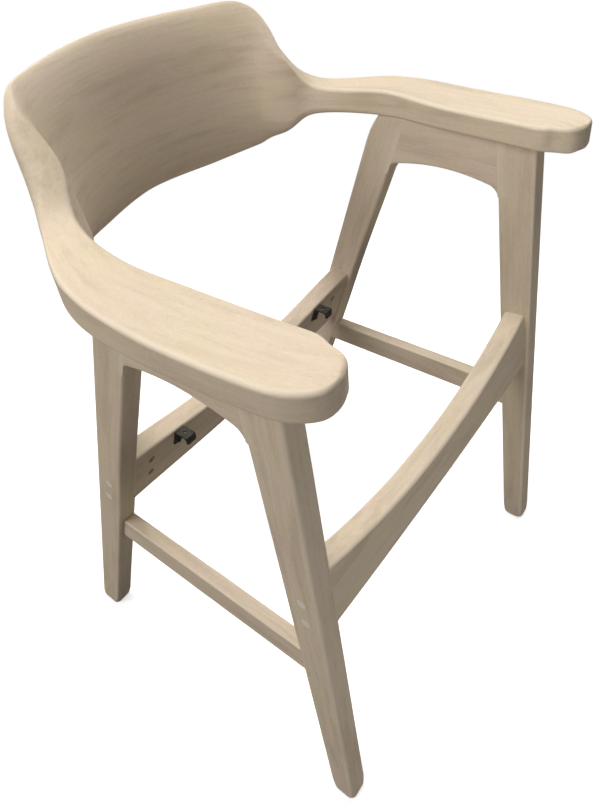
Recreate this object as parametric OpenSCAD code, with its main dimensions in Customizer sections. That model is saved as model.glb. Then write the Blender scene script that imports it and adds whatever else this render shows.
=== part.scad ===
// Bare hardwood frame of an armchair: a sculpted back rail that flows into paddle arms,
// carried by two side frames that a pair of scooped seat rails holds apart.
// The chair faces -Y, its middle plane is X = 0, the sitter's left is +X and the floor is Z = 0.

/* [Side frames] */
// Clear width between the two side frames
clear_w = 471; // [420:1:540]
// Thickness of legs and arm rails, across the chair
frame_t = 29; // [26:1:34]
// Rounding of the legs' long edges
leg_edge_r = 4; // [2:0.5:5]
// Rounding round the bottom of each foot
foot_r = 4; // [3:0.5:7]
// Depth position of the middle of a front foot
front_foot_y = -233; // [-245:1:-215]
// Width of a front foot in side view
front_foot_w = 28.5; // [24:0.5:32]
// Depth position of the middle of a front leg's top
front_top_y = -175; // [-188:1:-164]
// Width of a front leg's top in side view
front_top_w = 48.5; // [40:0.5:54]
// Depth position of the middle of a rear foot
rear_foot_y = 203; // [185:1:215]
// Width of a rear foot in side view
rear_foot_w = 35; // [28:1:38]
// Depth position of the middle of a rear leg's top
rear_top_y = -6; // [-16:0.5:6]
// Width of a rear leg's top in side view
rear_top_w = 49; // [44:0.5:58]
// Hollow of a rear leg's front edge, halfway up
rear_leg_hollow = 1.5; // [0:0.5:5]

/* [Arm rails] */
// Height of the arch's crown under an arm
arch_z = 591.5; // [580:0.5:598]
// Depth position of the arch's crown
arch_y = -74; // [-90:1:-60]
// Fall of the arch from its crown to the front leg
arch_fall = 14; // [4:1:16]
// Fillet where the arch meets the front leg
arch_fillet = 11; // [4:1:13]
// Fillet where the arch meets the rear leg
arch_rear_fillet = 5; // [3:1:11]

/* [Stretchers] */
// Height of a stretcher's middle above the floor
stretcher_z = 247; // [180:1:258]
// Height of a stretcher's section
stretcher_h = 36.5; // [28:0.5:42]
// Thickness of a stretcher
stretcher_t = 18; // [14:1:20]
// Distance that the stretchers are set in from the middle of the legs' thickness
stretcher_in = 2; // [0:0.5:3]
// Rounding of a stretcher's long edges
stretcher_edge_r = 2.5; // [1:0.5:5]
// Length of a stretcher's tenons
tenon_l = 13; // [8:1:15]
// Thickness of a stretcher's tenons
tenon_t = 9; // [7:1:11]
// Height of a stretcher's tenons
tenon_h = 22; // [18:1:26]

/* [Seat rails] */
// Height of the front seat rail's ends
front_rail_h = 86; // [78:1:94]
// Height of the rear seat rail's ends
rear_rail_h = 98; // [88:1:104]
// Thickness of both seat rails
rail_t = 27; // [24:1:29]
// Rounding of the seat rails' long edges
rail_edge_r = 4; // [2:0.5:5]
// Depth of the scoop in the front rail's top edge
front_scoop = 38; // [20:1:44]
// Depth of the scoop in the rear rail's top edge
rear_scoop = 34; // [20:1:42]
// Belly of the front rail's lower edge
front_belly = 5; // [0:1:10]
// Belly of the rear rail's lower edge
rear_belly = 14; // [4:1:18]
// Height of the middle of the front rail's ends
front_rail_z = 357.5; // [345:0.5:372]
// Height of the middle of the rear rail's ends
rear_rail_z = 334.5; // [326:0.5:346]

/* [Back] */
// Height of the crest rail's top edge at its middle
crest_top = 807.5; // [785:0.5:850]
// Height of the crest rail's face at its middle
crest_h = 205; // [180:1:222]
// Thickness of the crest rail
crest_t = 27.5; // [25:0.5:32]
// Distance that the crest's top edge leans behind its lower edge
crest_lean = 36.5; // [24:0.5:42]
// Depth position of the crest rail's middle
crest_y = 239.5; // [225:0.5:260]
// Distance that the crest rail curves forward from its middle to its corners
crest_bow = 66.5; // [60:0.5:72]
// Height of the top edge where the crest sweeps down to an arm
shoulder_z = 741.5; // [730:0.5:755]
// Thickness in plan where the crest sweeps down
shoulder_t = 44; // [40:0.5:48]
// Width of the neck between the crest and an arm
neck_w = 40.5; // [38:0.5:46]

/* [Arms] */
// Height of an arm's underside above the middle of the seat
arm_under = 652; // [640:1:664]
// Rise of the arms towards the back, in degrees
arm_pitch = 1.9; // [0:0.1:3]
// Thickness of an arm
arm_t = 30.5; // [27:0.5:34]
// Width of an arm over the rear leg
arm_rear_w = 62.5; // [56:0.5:70]
// Greatest width of an arm
arm_w = 77; // [70:0.5:84]
// Width of an arm over the front leg
arm_front_w = 75; // [68:0.5:80]
// Width that an arm narrows to before its rounded tip
arm_tip_w = 62.5; // [56:0.5:68]
// Depth position of the arms' front ends
arm_tip_y = -246.5; // [-258:0.5:-240]
// Length of an arm's rounded tip
arm_tip_l = 45; // [36:1:50]
// Rounding of the arms' edges; the back is rounded in proportion
ring_edge_r = 5; // [4:0.5:5.5]

/* [Joints] */
// Diameter of the dowels between the crest and the arms
crest_dowel_d = 10; // [8:0.5:11]
// Length of the dowels between the crest and the arms
crest_dowel_l = 48; // [40:1:56]
// Diameter of the dowels in the side frames
dowel_d = 8; // [6:0.5:9]
// Length of the upright dowels that hold the arms
arm_dowel_l = 40; // [34:1:42]
// Length of the dowels between the arm rails and the legs
rail_dowel_l = 36; // [30:1:38]
// Clearance round bolts, nuts, dowels and tenons, on each side
fit_gap = 0.15; // [0.1:0.05:0.25]
// Clearance at the bottom of blind holes
end_gap = 1; // [0.5:0.5:2]

/* [Seat rail bolts] */
// Diameter of a bolt
bolt_d = 6; // [5:0.5:7]
// Length of a bolt under its head
bolt_l = 55; // [52:1:62]
// Spacing of the two bolts in each end of a rail
bolt_gap = 30; // [26:1:40]
// Diameter of a bolt's socket head
bolt_head_d = 10; // [9:0.5:10]
// Height of a bolt's socket head
bolt_head_h = 6; // [4:0.5:7]
// Width of the socket across its flats
bolt_socket = 5; // [4:0.5:5]
// Diameter of the wood plugs over the bolts
plug_d = 11; // [10.5:0.5:14]
// Length of a wood plug
plug_l = 4.5; // [3:0.5:6]
// Diameter of a barrel nut
nut_d = 10; // [9:0.5:12]
// Length of a barrel nut
nut_l = 16; // [12:1:17]
// Distance from a rail's end to its barrel nuts
nut_in = 32; // [26:1:34]

/* [Seat brackets] */
// Distance from the middle of a bracket to the nearer side frame
bracket_in = 80; // [60:1:120]
// Width of a bracket
bracket_w = 16; // [14:1:24]
// Length of a bracket's flange on the rail
bracket_l = 27; // [26:1:34]
// Reach of a bracket's level plate, which the seat lies on
bracket_reach = 18; // [16:1:26]
// Length of the lip that is turned down at the front of that plate
bracket_lip = 9.5; // [6:0.5:10]
// Thickness of a bracket
bracket_t = 2; // [1.5:0.5:3]
// Rounding of a bracket's corners
bracket_corner_r = 3; // [1:0.5:5]
// Depth of a bracket's bend below the rail's edge
bracket_drop = 4; // [4:0.5:8]
// Diameter of the hole for the seat's screw
seat_hole_d = 5; // [4:0.5:6]
// Distance of that hole from the bend
seat_hole_in = 9; // [7:1:11]
// Diameter of a bracket screw
screw_d = 4; // [3:0.5:4.5]
// Length of a bracket screw under its head
screw_l = 18; // [12:1:20]
// Diameter of a bracket screw's head
screw_head_d = 8; // [7:0.5:8]
// Height of a bracket screw's head
screw_head_h = 2.2; // [1.5:0.1:3]
// Spacing of the two screws in a bracket
screw_gap = 8.5; // [8.5:0.5:12]

/* [Hidden] */
$fn = 48;
wood = [0.86, 0.79, 0.69];
end_grain = [0.8, 0.74, 0.65];
dowel_wood = [0.82, 0.7, 0.52];
zinc = [0.7, 0.7, 0.72];
dark_steel = [0.17, 0.16, 0.15];

// Facets in each rounded corner, and rings from one station of the back and arms to the next
corner_steps = 5;
row_steps = 6;

// Middle plane, inner face and outer face of the left side frame
side_x = clear_w / 2 + frame_t / 2;
inner_x = clear_w / 2;
outer_x = clear_w / 2 + frame_t;

// Rounded rectangle, anticlockwise from its right side. r is one radius, or one for each corner
// from the top right anticlockwise. A corner may have two, one across and one up.
function rounded(w, h, r) = [
    for (c = [0:3])
        let (q = is_list(r) ? r[c] : r)
        let (qx = is_list(q) ? q[0] : q)
        let (qy = is_list(q) ? q[1] : q)
        let (cx = (c == 0 || c == 3 ? 1 : -1) * (w / 2 - qx))
        let (cy = (c < 2 ? 1 : -1) * (h / 2 - qy))
            for (i = [0:corner_steps])
                let (a = 90 * (c + i / corner_steps))
                    [cx + qx * cos(a), cy + qy * sin(a)]
];

// Closed solid through rings that turn anticlockwise about the way they run
module loft(rings) {
    n = len(rings[0]);
    m = len(rings);
    sides = [
        for (i = [0:m - 2])
            for (j = [0:n - 1])
                let (k = (j + 1) % n)
                    each [
                        [i * n + j, (i + 1) * n + j, (i + 1) * n + k],
                        [i * n + j, (i + 1) * n + k, i * n + k]
                    ]
    ];
    first = [for (j = [0:n - 1]) j];
    last = [for (j = [n - 1:-1:0]) (m - 1) * n + j];
    polyhedron([for (r = rings) each r], concat([first], sides, [last]));
}

// Quarter round: drop at distance d from the start of a rounding of radius r
function round_drop(d, r) = d >= r ? 0 : r - sqrt(r * r - pow(r - d, 2));

module right_side() {
    mirror([1, 0, 0]) children();
}
module both_sides() {
    children();
    right_side() children();
}

// Legs

// A leg in side view: foot middle, foot width, top middle, top width, hollow, sign of its rail side
front_leg = [front_foot_y, front_foot_w, front_top_y, front_top_w, 0, 1];
rear_leg = [rear_foot_y, rear_foot_w, rear_top_y, rear_top_w, rear_leg_hollow, -1];

// Heights between which a leg's edge may be hollow, clear of the stretcher and the arm rail
hollow_low = stretcher_z + stretcher_h / 2;
hollow_high = arch_z - arch_fall - arch_fillet;
function hollow(leg, z) = z <= hollow_low || z >= hollow_high ? 0
    : leg[4] * pow(sin(180 * (z - hollow_low) / (hollow_high - hollow_low)), 2);

function leg_mid(leg, z) = leg[0] + (leg[2] - leg[0]) * z / arm_under;
function leg_w(leg, z) = leg[1] + (leg[3] - leg[1]) * z / arm_under;
function leg_front(leg, z) = leg_mid(leg, z) - leg_w(leg, z) / 2 + hollow(leg, z);
function leg_back(leg, z) = leg_mid(leg, z) + leg_w(leg, z) / 2;
function leg_lean(leg) = atan((leg[0] - leg[2]) / arm_under);

// Underside of the arms: the sloping plane that the legs and arm rails stop at
arm_slope = tan(arm_pitch);
function under_z(y) = arm_under + arm_slope * y;

// Height at which a leg's middle meets that plane
function leg_top(leg) = under_z(leg_mid(leg, under_z(leg[2])));

// Section of a leg at height z, drawn in by inset. Where the arm rail joins it flush, its edges
// there are nearly square.
flush_r = 0.8;
function leg_ring(leg, z, inset = 0, top = false) =
    let (w = leg_back(leg, z) - leg_front(leg, z) - 2 * inset)
    let (r = min(leg_edge_r, w / 2 - 0.5))
    let (q = z > hollow_high ? flush_r : r)
    [
        for (p = rounded(frame_t - 2 * inset, w, leg[5] > 0 ? [q, q, r, r] : [r, r, q, q]))
            let (h = top ? under_z(leg[2] + p[1]) : z)
            let (y = (leg_front(leg, h) + leg_back(leg, h)) / 2 + p[1])
                [side_x + p[0], y, top ? under_z(y) : z]
    ];
hollow_steps = 6;
module leg_blank(leg) {
    foot = [for (a = [0, 25, 50, 72]) leg_ring(leg, foot_r * (1 - cos(a)), foot_r * (1 - sin(a)))];
    shaft = [
        for (i = [0:hollow_steps])
            leg_ring(leg, hollow_low + (hollow_high - hollow_low) * i / hollow_steps)
    ];
    head = [leg_ring(leg, hollow_high + leg_edge_r), leg_ring(leg, leg_top(leg), 0, true)];
    loft(concat(foot, [leg_ring(leg, foot_r)], shaft, head));
}

// Places of the two bolts on a leg's middle line
module at_bolts(leg, rail_z) {
    lean = leg_lean(leg);
    for (v = [-bolt_gap / 2, bolt_gap / 2])
        translate([0, leg_mid(leg, rail_z) - v * sin(lean), rail_z + v * cos(lean)]) children();
}

// Seat of a bolt's head in a leg, and the plane that its tip reaches
head_seat_x = outer_x - plug_l - fit_gap - bolt_head_h;
bolt_tip_x = head_seat_x - bolt_l;

module leg(shape, rail_z, stretcher_end) {
    color(wood) difference() {
        leg_blank(shape);
        at_bolts(shape, rail_z) {
            translate([head_seat_x, 0, 0])
                rotate([0, 90, 0]) cylinder(h = outer_x - head_seat_x + 1, d = plug_d);
            translate([inner_x - 1, 0, 0])
                rotate([0, 90, 0]) cylinder(h = frame_t, d = bolt_d + 2 * fit_gap);
        }
        arm_dowel_row(fit_gap, end_gap);
        rail_dowel_set(fit_gap, end_gap);
        stretcher_tenon(stretcher_end, fit_gap, end_gap);
    }
}

// Arm rails

// Depth position of a point from the front leg (s = 0) to the rear leg (s = 1) at height z
function between_legs(s, z) = leg_back(front_leg, z) * (1 - s) + leg_front(rear_leg, z) * s;

arch_start = leg_back(front_leg, arch_z);
arch_span = leg_front(rear_leg, arch_z) - arch_start;
arch_crown = (arch_y - arch_start) / arch_span;
function arch_low(s) = arch_z - arch_fall * pow((s - arch_crown) / arch_crown, 2)
    - round_drop(s * arch_span, arch_fillet) - round_drop((1 - s) * arch_span, arch_rear_fillet);

function arm_rail_ring(s) =
    let (high = under_z(between_legs(s, under_z(between_legs(s, arm_under)))))
    let (low = arch_low(s))
    [
        for (p = rounded(high - low, frame_t, [flush_r, leg_edge_r, leg_edge_r, flush_r]))
            let (z = (high + low) / 2 + p[0])
                [side_x + p[1], between_legs(s, z), z]
    ];
// Shares of the span, closer together along the fillets
fillet_share = arch_fillet / arch_span;
rear_share = arch_rear_fillet / arch_span;
arch_shares = concat(
    [for (a = [0, 20, 42, 66]) fillet_share * (1 - cos(a))],
    [for (i = [0:8]) fillet_share + (1 - fillet_share - rear_share) * i / 8],
    [for (a = [66, 42, 20, 0]) 1 - rear_share * (1 - cos(a))]
);
module arm_rail() {
    color(wood) difference() {
        loft([for (s = arch_shares) arm_rail_ring(s)]);
        arm_dowel_row(fit_gap, end_gap);
        rail_dowel_set(fit_gap, end_gap);
    }
}

// Dowels of the side frames

// Upright dowels that hold an arm: one in each leg and two in the arm rail
arm_dowel_in = 0.6 * arm_t;
arm_rail_mid = arch_start + arch_span / 2;
arm_dowel_ys = [
    front_top_y - front_top_w / 5, arm_rail_mid - arch_span / 4,
    arm_rail_mid + arch_span / 4, rear_top_y + rear_top_w / 5
];
module arm_dowel_row(gap, over) {
    for (y = arm_dowel_ys)
        translate([side_x, y, under_z(y) + arm_dowel_in - arm_dowel_l - over])
            cylinder(h = arm_dowel_l + 2 * over, d = dowel_d + 2 * gap);
}

// Level dowels between an arm rail and the legs, two at each end
rail_dowel_zs = [arch_z + 0.75 * dowel_d, arm_under - 3.25 * dowel_d];
module rail_dowel_set(gap, over) {
    for (z = rail_dowel_zs)
        for (y = [leg_back(front_leg, z), leg_front(rear_leg, z)])
            translate([side_x, y, z])
                rotate([90, 0, 0])
                    cylinder(h = rail_dowel_l + 2 * over, d = dowel_d + 2 * gap, center = true);
}

// Stretchers

function stretcher_ring(s) = [
    for (p = rounded(stretcher_h, stretcher_t, stretcher_edge_r))
        let (z = stretcher_z + p[0])
            [side_x - stretcher_in + p[1], between_legs(s, z), z]
];
// Tenon at the front (end = 0) or rear (end = 1), or the mortise round it
tenon_root = 0.9 * tenon_l;
module stretcher_tenon(end, gap, over) {
    way = 2 * end - 1;
    y = between_legs(end, stretcher_z) + way * (tenon_l + over - tenon_root) / 2;
    translate([side_x - stretcher_in, y, stretcher_z])
        cube([tenon_t + 2 * gap, tenon_l + over + tenon_root, tenon_h + 2 * gap], center = true);
}
module stretcher() {
    color(wood) union() {
        loft([stretcher_ring(0), stretcher_ring(1)]);
        stretcher_tenon(0, 0, 0);
        stretcher_tenon(1, 0, 0);
    }
}

// Seat rails, each drawn upright and then leaned with its legs. face is the side that the
// barrel nuts open to: 1 for the rear face, -1 for the front face.

// A rail's shape: height of its ends, scoop, belly and how slowly its curves set in from the ends
front_rail = [front_rail_h, front_scoop, front_belly, 1];
rear_rail = [rear_rail_h, rear_scoop, rear_belly, 1.5];
function bell(rail, x) = pow(max(0, 1 - pow(x / inner_x, 2)), rail[3]);
function rail_high(rail, x) = rail[0] / 2 - rail[1] * bell(rail, x);
function rail_low(rail, x) = -rail[0] / 2 - rail[2] * bell(rail, x);
rail_steps = 20;
module at_rail(leg, z) {
    translate([0, leg_mid(leg, z), z]) rotate([leg_lean(leg), 0, 0]) children();
}
module rail_blank(rail) {
    loft([
        for (i = [-rail_steps / 2:rail_steps / 2])
            let (x = clear_w * i / rail_steps)
            let (high = rail_high(rail, x))
            let (low = rail_low(rail, x))
                [for (p = rounded(rail_t, high - low, rail_edge_r)) [x, p[0], (high + low) / 2 + p[1]]]
    ]);
}

// Places of the barrel nuts in a seat rail
module at_nuts() {
    both_sides()
        for (v = [-bolt_gap / 2, bolt_gap / 2])
            translate([inner_x - nut_in, 0, v]) children();
}
module seat_rail(shape, rail, z, face) {
    color(wood) at_rail(shape, z) difference() {
        rail_blank(rail);
        at_nuts()
            rotate([-90 * face, 0, 0])
                translate([0, 0, -nut_l / 2 - end_gap])
                    cylinder(h = nut_l / 2 + end_gap + rail_t, d = nut_d + 2 * fit_gap);
        both_sides()
            for (v = [-bolt_gap / 2, bolt_gap / 2])
                translate([bolt_tip_x - end_gap, 0, v])
                    rotate([0, 90, 0])
                        cylinder(h = inner_x - bolt_tip_x + end_gap + 1, d = bolt_d + 2 * fit_gap);
        if (face < 0)
            at_screws() cylinder(h = screw_l - bracket_t + end_gap, d = screw_d + 2 * fit_gap);
    }
}

// Barrel nuts on the bolts' axes, slotted at their open ends
slot_w = 1.2;
slot_depth = 1.5;
module barrel_nuts(shape, z, face) {
    color(zinc) at_rail(shape, z) at_nuts() rotate([-90 * face, 0, 0]) difference() {
        cylinder(h = nut_l, d = nut_d, center = true);
        rotate([0, 90, 0]) cylinder(h = 2 * nut_d, d = bolt_d + fit_gap, center = true);
        translate([0, 0, nut_l / 2]) cube([2 * nut_d, slot_w, 2 * slot_depth], center = true);
    }
}

// Bolt with a socket head, from the head's seat inwards
module bolt() {
    socket_depth = bolt_head_h * 0.6;
    rotate([0, 90, 0]) {
        translate([0, 0, -bolt_l]) cylinder(h = bolt_l, d = bolt_d);
        difference() {
            cylinder(h = bolt_head_h, d = bolt_head_d);
            translate([0, 0, bolt_head_h - socket_depth])
                cylinder(h = socket_depth + 1, d = bolt_socket / cos(30), $fn = 6);
        }
    }
}
module rail_bolts(shape, z) {
    color(zinc) both_sides() at_bolts(shape, z) translate([head_seat_x, 0, 0]) bolt();
}

// Wood plugs over the bolts, flush with the leg and eased round their rim
plug_ease = 0.4;
module plugs(shape, z) {
    color(end_grain) both_sides() at_bolts(shape, z) translate([outer_x - plug_l, 0, 0]) rotate([0, 90, 0]) {
        cylinder(h = plug_l - plug_ease, d = plug_d);
        translate([0, 0, plug_l - plug_ease])
            cylinder(h = plug_ease, d1 = plug_d, d2 = plug_d - 2 * plug_ease);
    }
}

// Seat brackets on the rear rail's front face. Each is drawn from the inside of its bend: one
// flange lies on the leaning rail, a level plate reaches forward and ends in a lip.

bracket_x = inner_x - bracket_in;
bracket_z = rail_high(rear_rail, bracket_x) - bracket_drop;
// The screws lie lower than the lip, so that a driver reaches them
screw_first = bracket_l - screw_gap - 5;

// Plate that hangs down from a bend, with rounded lower corners. Its children are cut from it.
module flange(l) {
    w = bracket_w;
    r = bracket_corner_r;
    rotate([-90, 0, 0]) linear_extrude(bracket_t) difference() {
        union() {
            translate([-w / 2, 0]) square([w, l - r]);
            translate([-w / 2 + r, 0]) square([w - 2 * r, l]);
            for (side = [-1, 1]) translate([side * (w / 2 - r), l - r]) circle(r);
        }
        children();
    }
}
module bend() {
    rotate([0, 90, 0]) cylinder(h = bracket_w, r = bracket_t, center = true);
}
module bracket(side) {
    color(dark_steel) at_rail(rear_leg, rear_rail_z)
        translate([side * bracket_x, -rail_t / 2 - bracket_t, bracket_z]) {
            flange(bracket_l)
                for (v = [screw_first, screw_first + screw_gap])
                    translate([0, v]) circle(d = screw_d + 2 * fit_gap);
            bend();
            rotate([-leg_lean(rear_leg), 0, 0]) {
                difference() {
                    translate([-bracket_w / 2, -bracket_reach, 0])
                        cube([bracket_w, bracket_reach, bracket_t]);
                    translate([0, -seat_hole_in, -1]) cylinder(h = bracket_t + 2, d = seat_hole_d);
                }
                translate([0, -bracket_reach, 0]) {
                    bend();
                    translate([0, -bracket_t, 0]) flange(bracket_lip);
                }
            }
        }
}
// Places of the bracket screws on the rail's front face, pointing into the rail
module at_screws() {
    both_sides()
        for (v = [screw_first, screw_first + screw_gap])
            translate([bracket_x, -rail_t / 2, bracket_z - v]) rotate([-90, 0, 0]) children();
}
module screw() {
    translate([0, 0, -bracket_t]) {
        cylinder(h = screw_l, d = screw_d);
        difference() {
            translate([0, 0, -screw_head_h])
                cylinder(h = screw_head_h, d1 = screw_head_d - screw_head_h, d2 = screw_head_d);
            for (a = [0, 90])
                rotate([0, 0, a])
                    translate([0, 0, -screw_head_h]) cube([screw_d, 0.8, screw_head_h], center = true);
        }
    }
}

// Back and arms: one horseshoe, cut into the crest rail and two arms.

// Stations from the middle of the back to the tip of the left arm. Each is the middle of the
// section across and in depth, its thickness in plan, its top, its bottom and its lean, then its
// roundings across and up at the outer top, inner top, inner bottom and outer bottom corner.
crest_foot = crest_top - crest_h;
function arm_z(y, share) = under_z(y) + share * arm_t;
function back_station(x, bow, w, top, bottom, lean, corners) =
    concat([side_x * x, crest_y - crest_bow * bow, w, top, bottom, crest_lean * lean], ring_edge_r * corners);
function arm_station(x, y, w, share, corners) =
    concat([side_x * x, y, w, arm_z(y, share), under_z(y), 0], ring_edge_r * corners);
back_round = [2.1, 2.4, 2.6, 5.2, 2.4, 4, 2, 2.4];
corner_round = [3.5, 5.5, 1.4, 2.4, 1.8, 2.8, 2, 2.4];
shoulder_round = [5.9, 7.7, 1.2, 1.6, 1.4, 2, 2, 2.4];
neck_round = [1.4, 2.9, 1.2, 1.2, 1.2, 1.4, 1.6, 1.6];
arm_round = [1, 1, 1, 1, 1, 1, 1, 1];
middle = back_station(0, 0, crest_t, crest_top, crest_foot, 1, back_round);
quarter = back_station(
    0.461, 0.372, crest_t, crest_top - 0.017 * crest_h, crest_foot - 0.005 * crest_h, 1, back_round
);
corner = back_station(
    0.713, 1, 1.04 * crest_t, crest_top - 0.046 * crest_h, crest_foot + 0.046 * crest_h, 0.85, corner_round
);
shoulder = back_station(
    0.784, 1.514, shoulder_t, shoulder_z, crest_foot + 0.131 * crest_h, 0.41, shoulder_round
);
neck_bow = 2.108;
neck_y = crest_y - crest_bow * neck_bow;
neck = back_station(0.884, neck_bow, neck_w, arm_z(neck_y, 1.187), arm_z(neck_y, -0.085), 0.15, neck_round);
arm_rear = arm_station(1.049, rear_top_y + 0.18 * rear_top_w, arm_rear_w, 1.148, arm_round);
arm_mid = arm_station(1.053, (rear_top_y + front_top_y) / 2, arm_w, 1, arm_round);
arm_front = arm_station(1.015, front_top_y - 0.625 * front_top_w, arm_front_w, 1, arm_round);
arm_tip = arm_station(0.958, arm_tip_y, arm_tip_w, 1, arm_round);
rows = [middle, quarter, corner, shoulder, neck, arm_rear, arm_mid, arm_front, arm_tip];
rear_t = 5;
tip_t = len(rows) - 1;
// Place along the stations where the crest rail is jointed to an arm
joint_t = 3.5;

// Smooth curve through the stations: t is a station's number or lies between two, and is
// negative on the right side. The arm's underside stays flat.
function row(i) = i < 0 ? [-rows[-i][0], for (k = [1:13]) rows[-i][k]]
    : i > tip_t ? 2 * rows[tip_t] - rows[tip_t - 1]
    : rows[i];
function station(t) =
    let (i = min(floor(abs(t)), tip_t - 1))
    let (f = abs(t) - i)
    let (a = row(i - 1))
    let (b = row(i))
    let (c = row(i + 1))
    let (d = row(i + 2))
    let (bend_in = 2 * a - 5 * b + 4 * c - d)
    let (s = b + ((c - a) * f + bend_in * f * f + (3 * b - a - 3 * c + d) * f * f * f) / 2)
    [sign(t) * s[0], s[1], s[2], s[3], abs(t) >= rear_t ? under_z(s[1]) : s[4], for (k = [5:13]) s[k]];

// Share of its full width that the section has at distance d behind the tip
tip_end = 0.1;
function tip_share(d) = d >= arm_tip_l ? 1
    : pow(1 - pow((arm_tip_l - d) / (arm_tip_l + tip_end), 2.4), 1 / 2.4);

// Section of the horseshoe at t, upright and square to its path in plan
least_r = 0.3;
function ring(t) =
    let (s = station(t))
    let (ahead = station(min(t + 0.01, tip_t)))
    let (behind = station(t - 0.01))
    let (run = [ahead[0] - behind[0], ahead[1] - behind[1]])
    let (way = run / norm(run))
    let (d = t > rear_t ? s[1] - arm_tip_y : arm_tip_l)
    let (w = s[2] * tip_share(d))
    let (cut = round_drop(d, ring_edge_r))
    let (h = s[3] - s[4])
    let (r = [for (k = [6:2:12]) [max(least_r, s[k] - cut), max(least_r, s[k + 1] - cut)]])
    let (fit = min(1, (w - least_r) / max(r[0][0] + r[1][0], r[2][0] + r[3][0])))
    let (tilt = arm_slope * max(0, min(1, abs(t) - rear_t + 1)))
    [
        for (p = rounded(w, h - 2 * cut, [for (q = r) [fit * q[0], q[1]]]))
            let (u = p[0] + s[5] * p[1] / h)
                [s[0] - way[1] * u, s[1] + way[0] * u, (s[3] + s[4]) / 2 + p[1] + tilt * way[0] * u]
    ];

module crest_blank() {
    n = joint_t * row_steps;
    loft([for (i = [-n:n]) ring(i / row_steps)]);
}

// Rings of an arm: even steps from the joint, then closer ones round the tip
tip_start = tip_t - 5 / row_steps;
arm_ts = concat(
    [for (i = [joint_t * row_steps:tip_start * row_steps]) i / row_steps],
    [for (f = [0.36, 0.58, 0.75, 0.87, 0.945, 0.985, 1]) tip_start + f * (tip_t - tip_start)]
);
module arm() {
    color(wood) difference() {
        loft([for (t = arm_ts) ring(t)]);
        crest_dowel_pair(fit_gap, end_gap);
        arm_dowel_row(fit_gap, end_gap);
    }
}

// Two level dowels side by side through the joint between the crest and an arm
module crest_dowel_pair(gap, over) {
    s = station(joint_t);
    a = station(joint_t + 0.1);
    translate([s[0], s[1], (neck[3] + neck[4]) / 2])
        rotate([0, 0, atan2(a[1] - s[1], a[0] - s[0])])
            for (v = [-neck_w / 4, neck_w / 4])
                translate([0, v, 0])
                    rotate([0, 90, 0])
                        cylinder(h = crest_dowel_l + 2 * over, d = crest_dowel_d + 2 * gap, center = true);
}

// The chair is drawn about the middle of the arms, then set with its origin under mid-depth
back_y = max([for (p = ring(0)) p[1]]);
front_y = min([for (t = arm_ts) for (p = ring(t)) p[1]]);
module place() {
    translate([0, -(front_y + back_y) / 2, 0]) children();
}

// Sub-parts

module crest_rail() {
    color(wood) place() difference() {
        crest_blank();
        both_sides() crest_dowel_pair(fit_gap, end_gap);
    }
}
module arm_left() {
    place() arm();
}
module arm_right() {
    place() right_side() arm();
}
module front_leg_left() {
    place() leg(front_leg, front_rail_z, 0);
}
module front_leg_right() {
    place() right_side() leg(front_leg, front_rail_z, 0);
}
module rear_leg_left() {
    place() leg(rear_leg, rear_rail_z, 1);
}
module rear_leg_right() {
    place() right_side() leg(rear_leg, rear_rail_z, 1);
}
module arm_rail_left() {
    place() arm_rail();
}
module arm_rail_right() {
    place() right_side() arm_rail();
}
module stretcher_left() {
    place() stretcher();
}
module stretcher_right() {
    place() right_side() stretcher();
}
module front_seat_rail() {
    place() seat_rail(front_leg, front_rail, front_rail_z, 1);
}
module rear_seat_rail() {
    place() seat_rail(rear_leg, rear_rail, rear_rail_z, -1);
}
module seat_bracket_left() {
    place() bracket(1);
}
module seat_bracket_right() {
    place() bracket(-1);
}
module bracket_screws() {
    color(dark_steel) place() at_rail(rear_leg, rear_rail_z) at_screws() screw();
}
module front_rail_bolts() {
    place() rail_bolts(front_leg, front_rail_z);
}
module rear_rail_bolts() {
    place() rail_bolts(rear_leg, rear_rail_z);
}
module front_barrel_nuts() {
    place() barrel_nuts(front_leg, front_rail_z, 1);
}
module rear_barrel_nuts() {
    place() barrel_nuts(rear_leg, rear_rail_z, -1);
}
module front_leg_plugs() {
    place() plugs(front_leg, front_rail_z);
}
module rear_leg_plugs() {
    place() plugs(rear_leg, rear_rail_z);
}
module crest_dowels() {
    color(dowel_wood) place() both_sides() crest_dowel_pair(0, 0);
}
module arm_dowels() {
    color(dowel_wood) place() both_sides() arm_dowel_row(0, 0);
}
module arm_rail_dowels() {
    color(dowel_wood) place() both_sides() rail_dowel_set(0, 0);
}

crest_rail();
arm_left();
arm_right();
front_leg_left();
front_leg_right();
rear_leg_left();
rear_leg_right();
arm_rail_left();
arm_rail_right();
stretcher_left();
stretcher_right();
front_seat_rail();
rear_seat_rail();
seat_bracket_left();
seat_bracket_right();
bracket_screws();
front_rail_bolts();
rear_rail_bolts();
front_barrel_nuts();
rear_barrel_nuts();
front_leg_plugs();
rear_leg_plugs();
crest_dowels();
arm_dowels();
arm_rail_dowels();
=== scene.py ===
"""Bare hardwood frame of an armchair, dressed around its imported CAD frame.

Sizes are millimetres in the drawing's frame: the chair faces -Y, its middle plane is X = 0, the
floor is Z = 0 and depth is counted from the middle of the arms. Meshes are written in metres, in
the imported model's frame.
"""

import logging
import math
from dataclasses import dataclass, field
from enum import Enum
from typing import Sequence

import bpy
import numpy as np
from mathutils import Matrix, Vector


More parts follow.
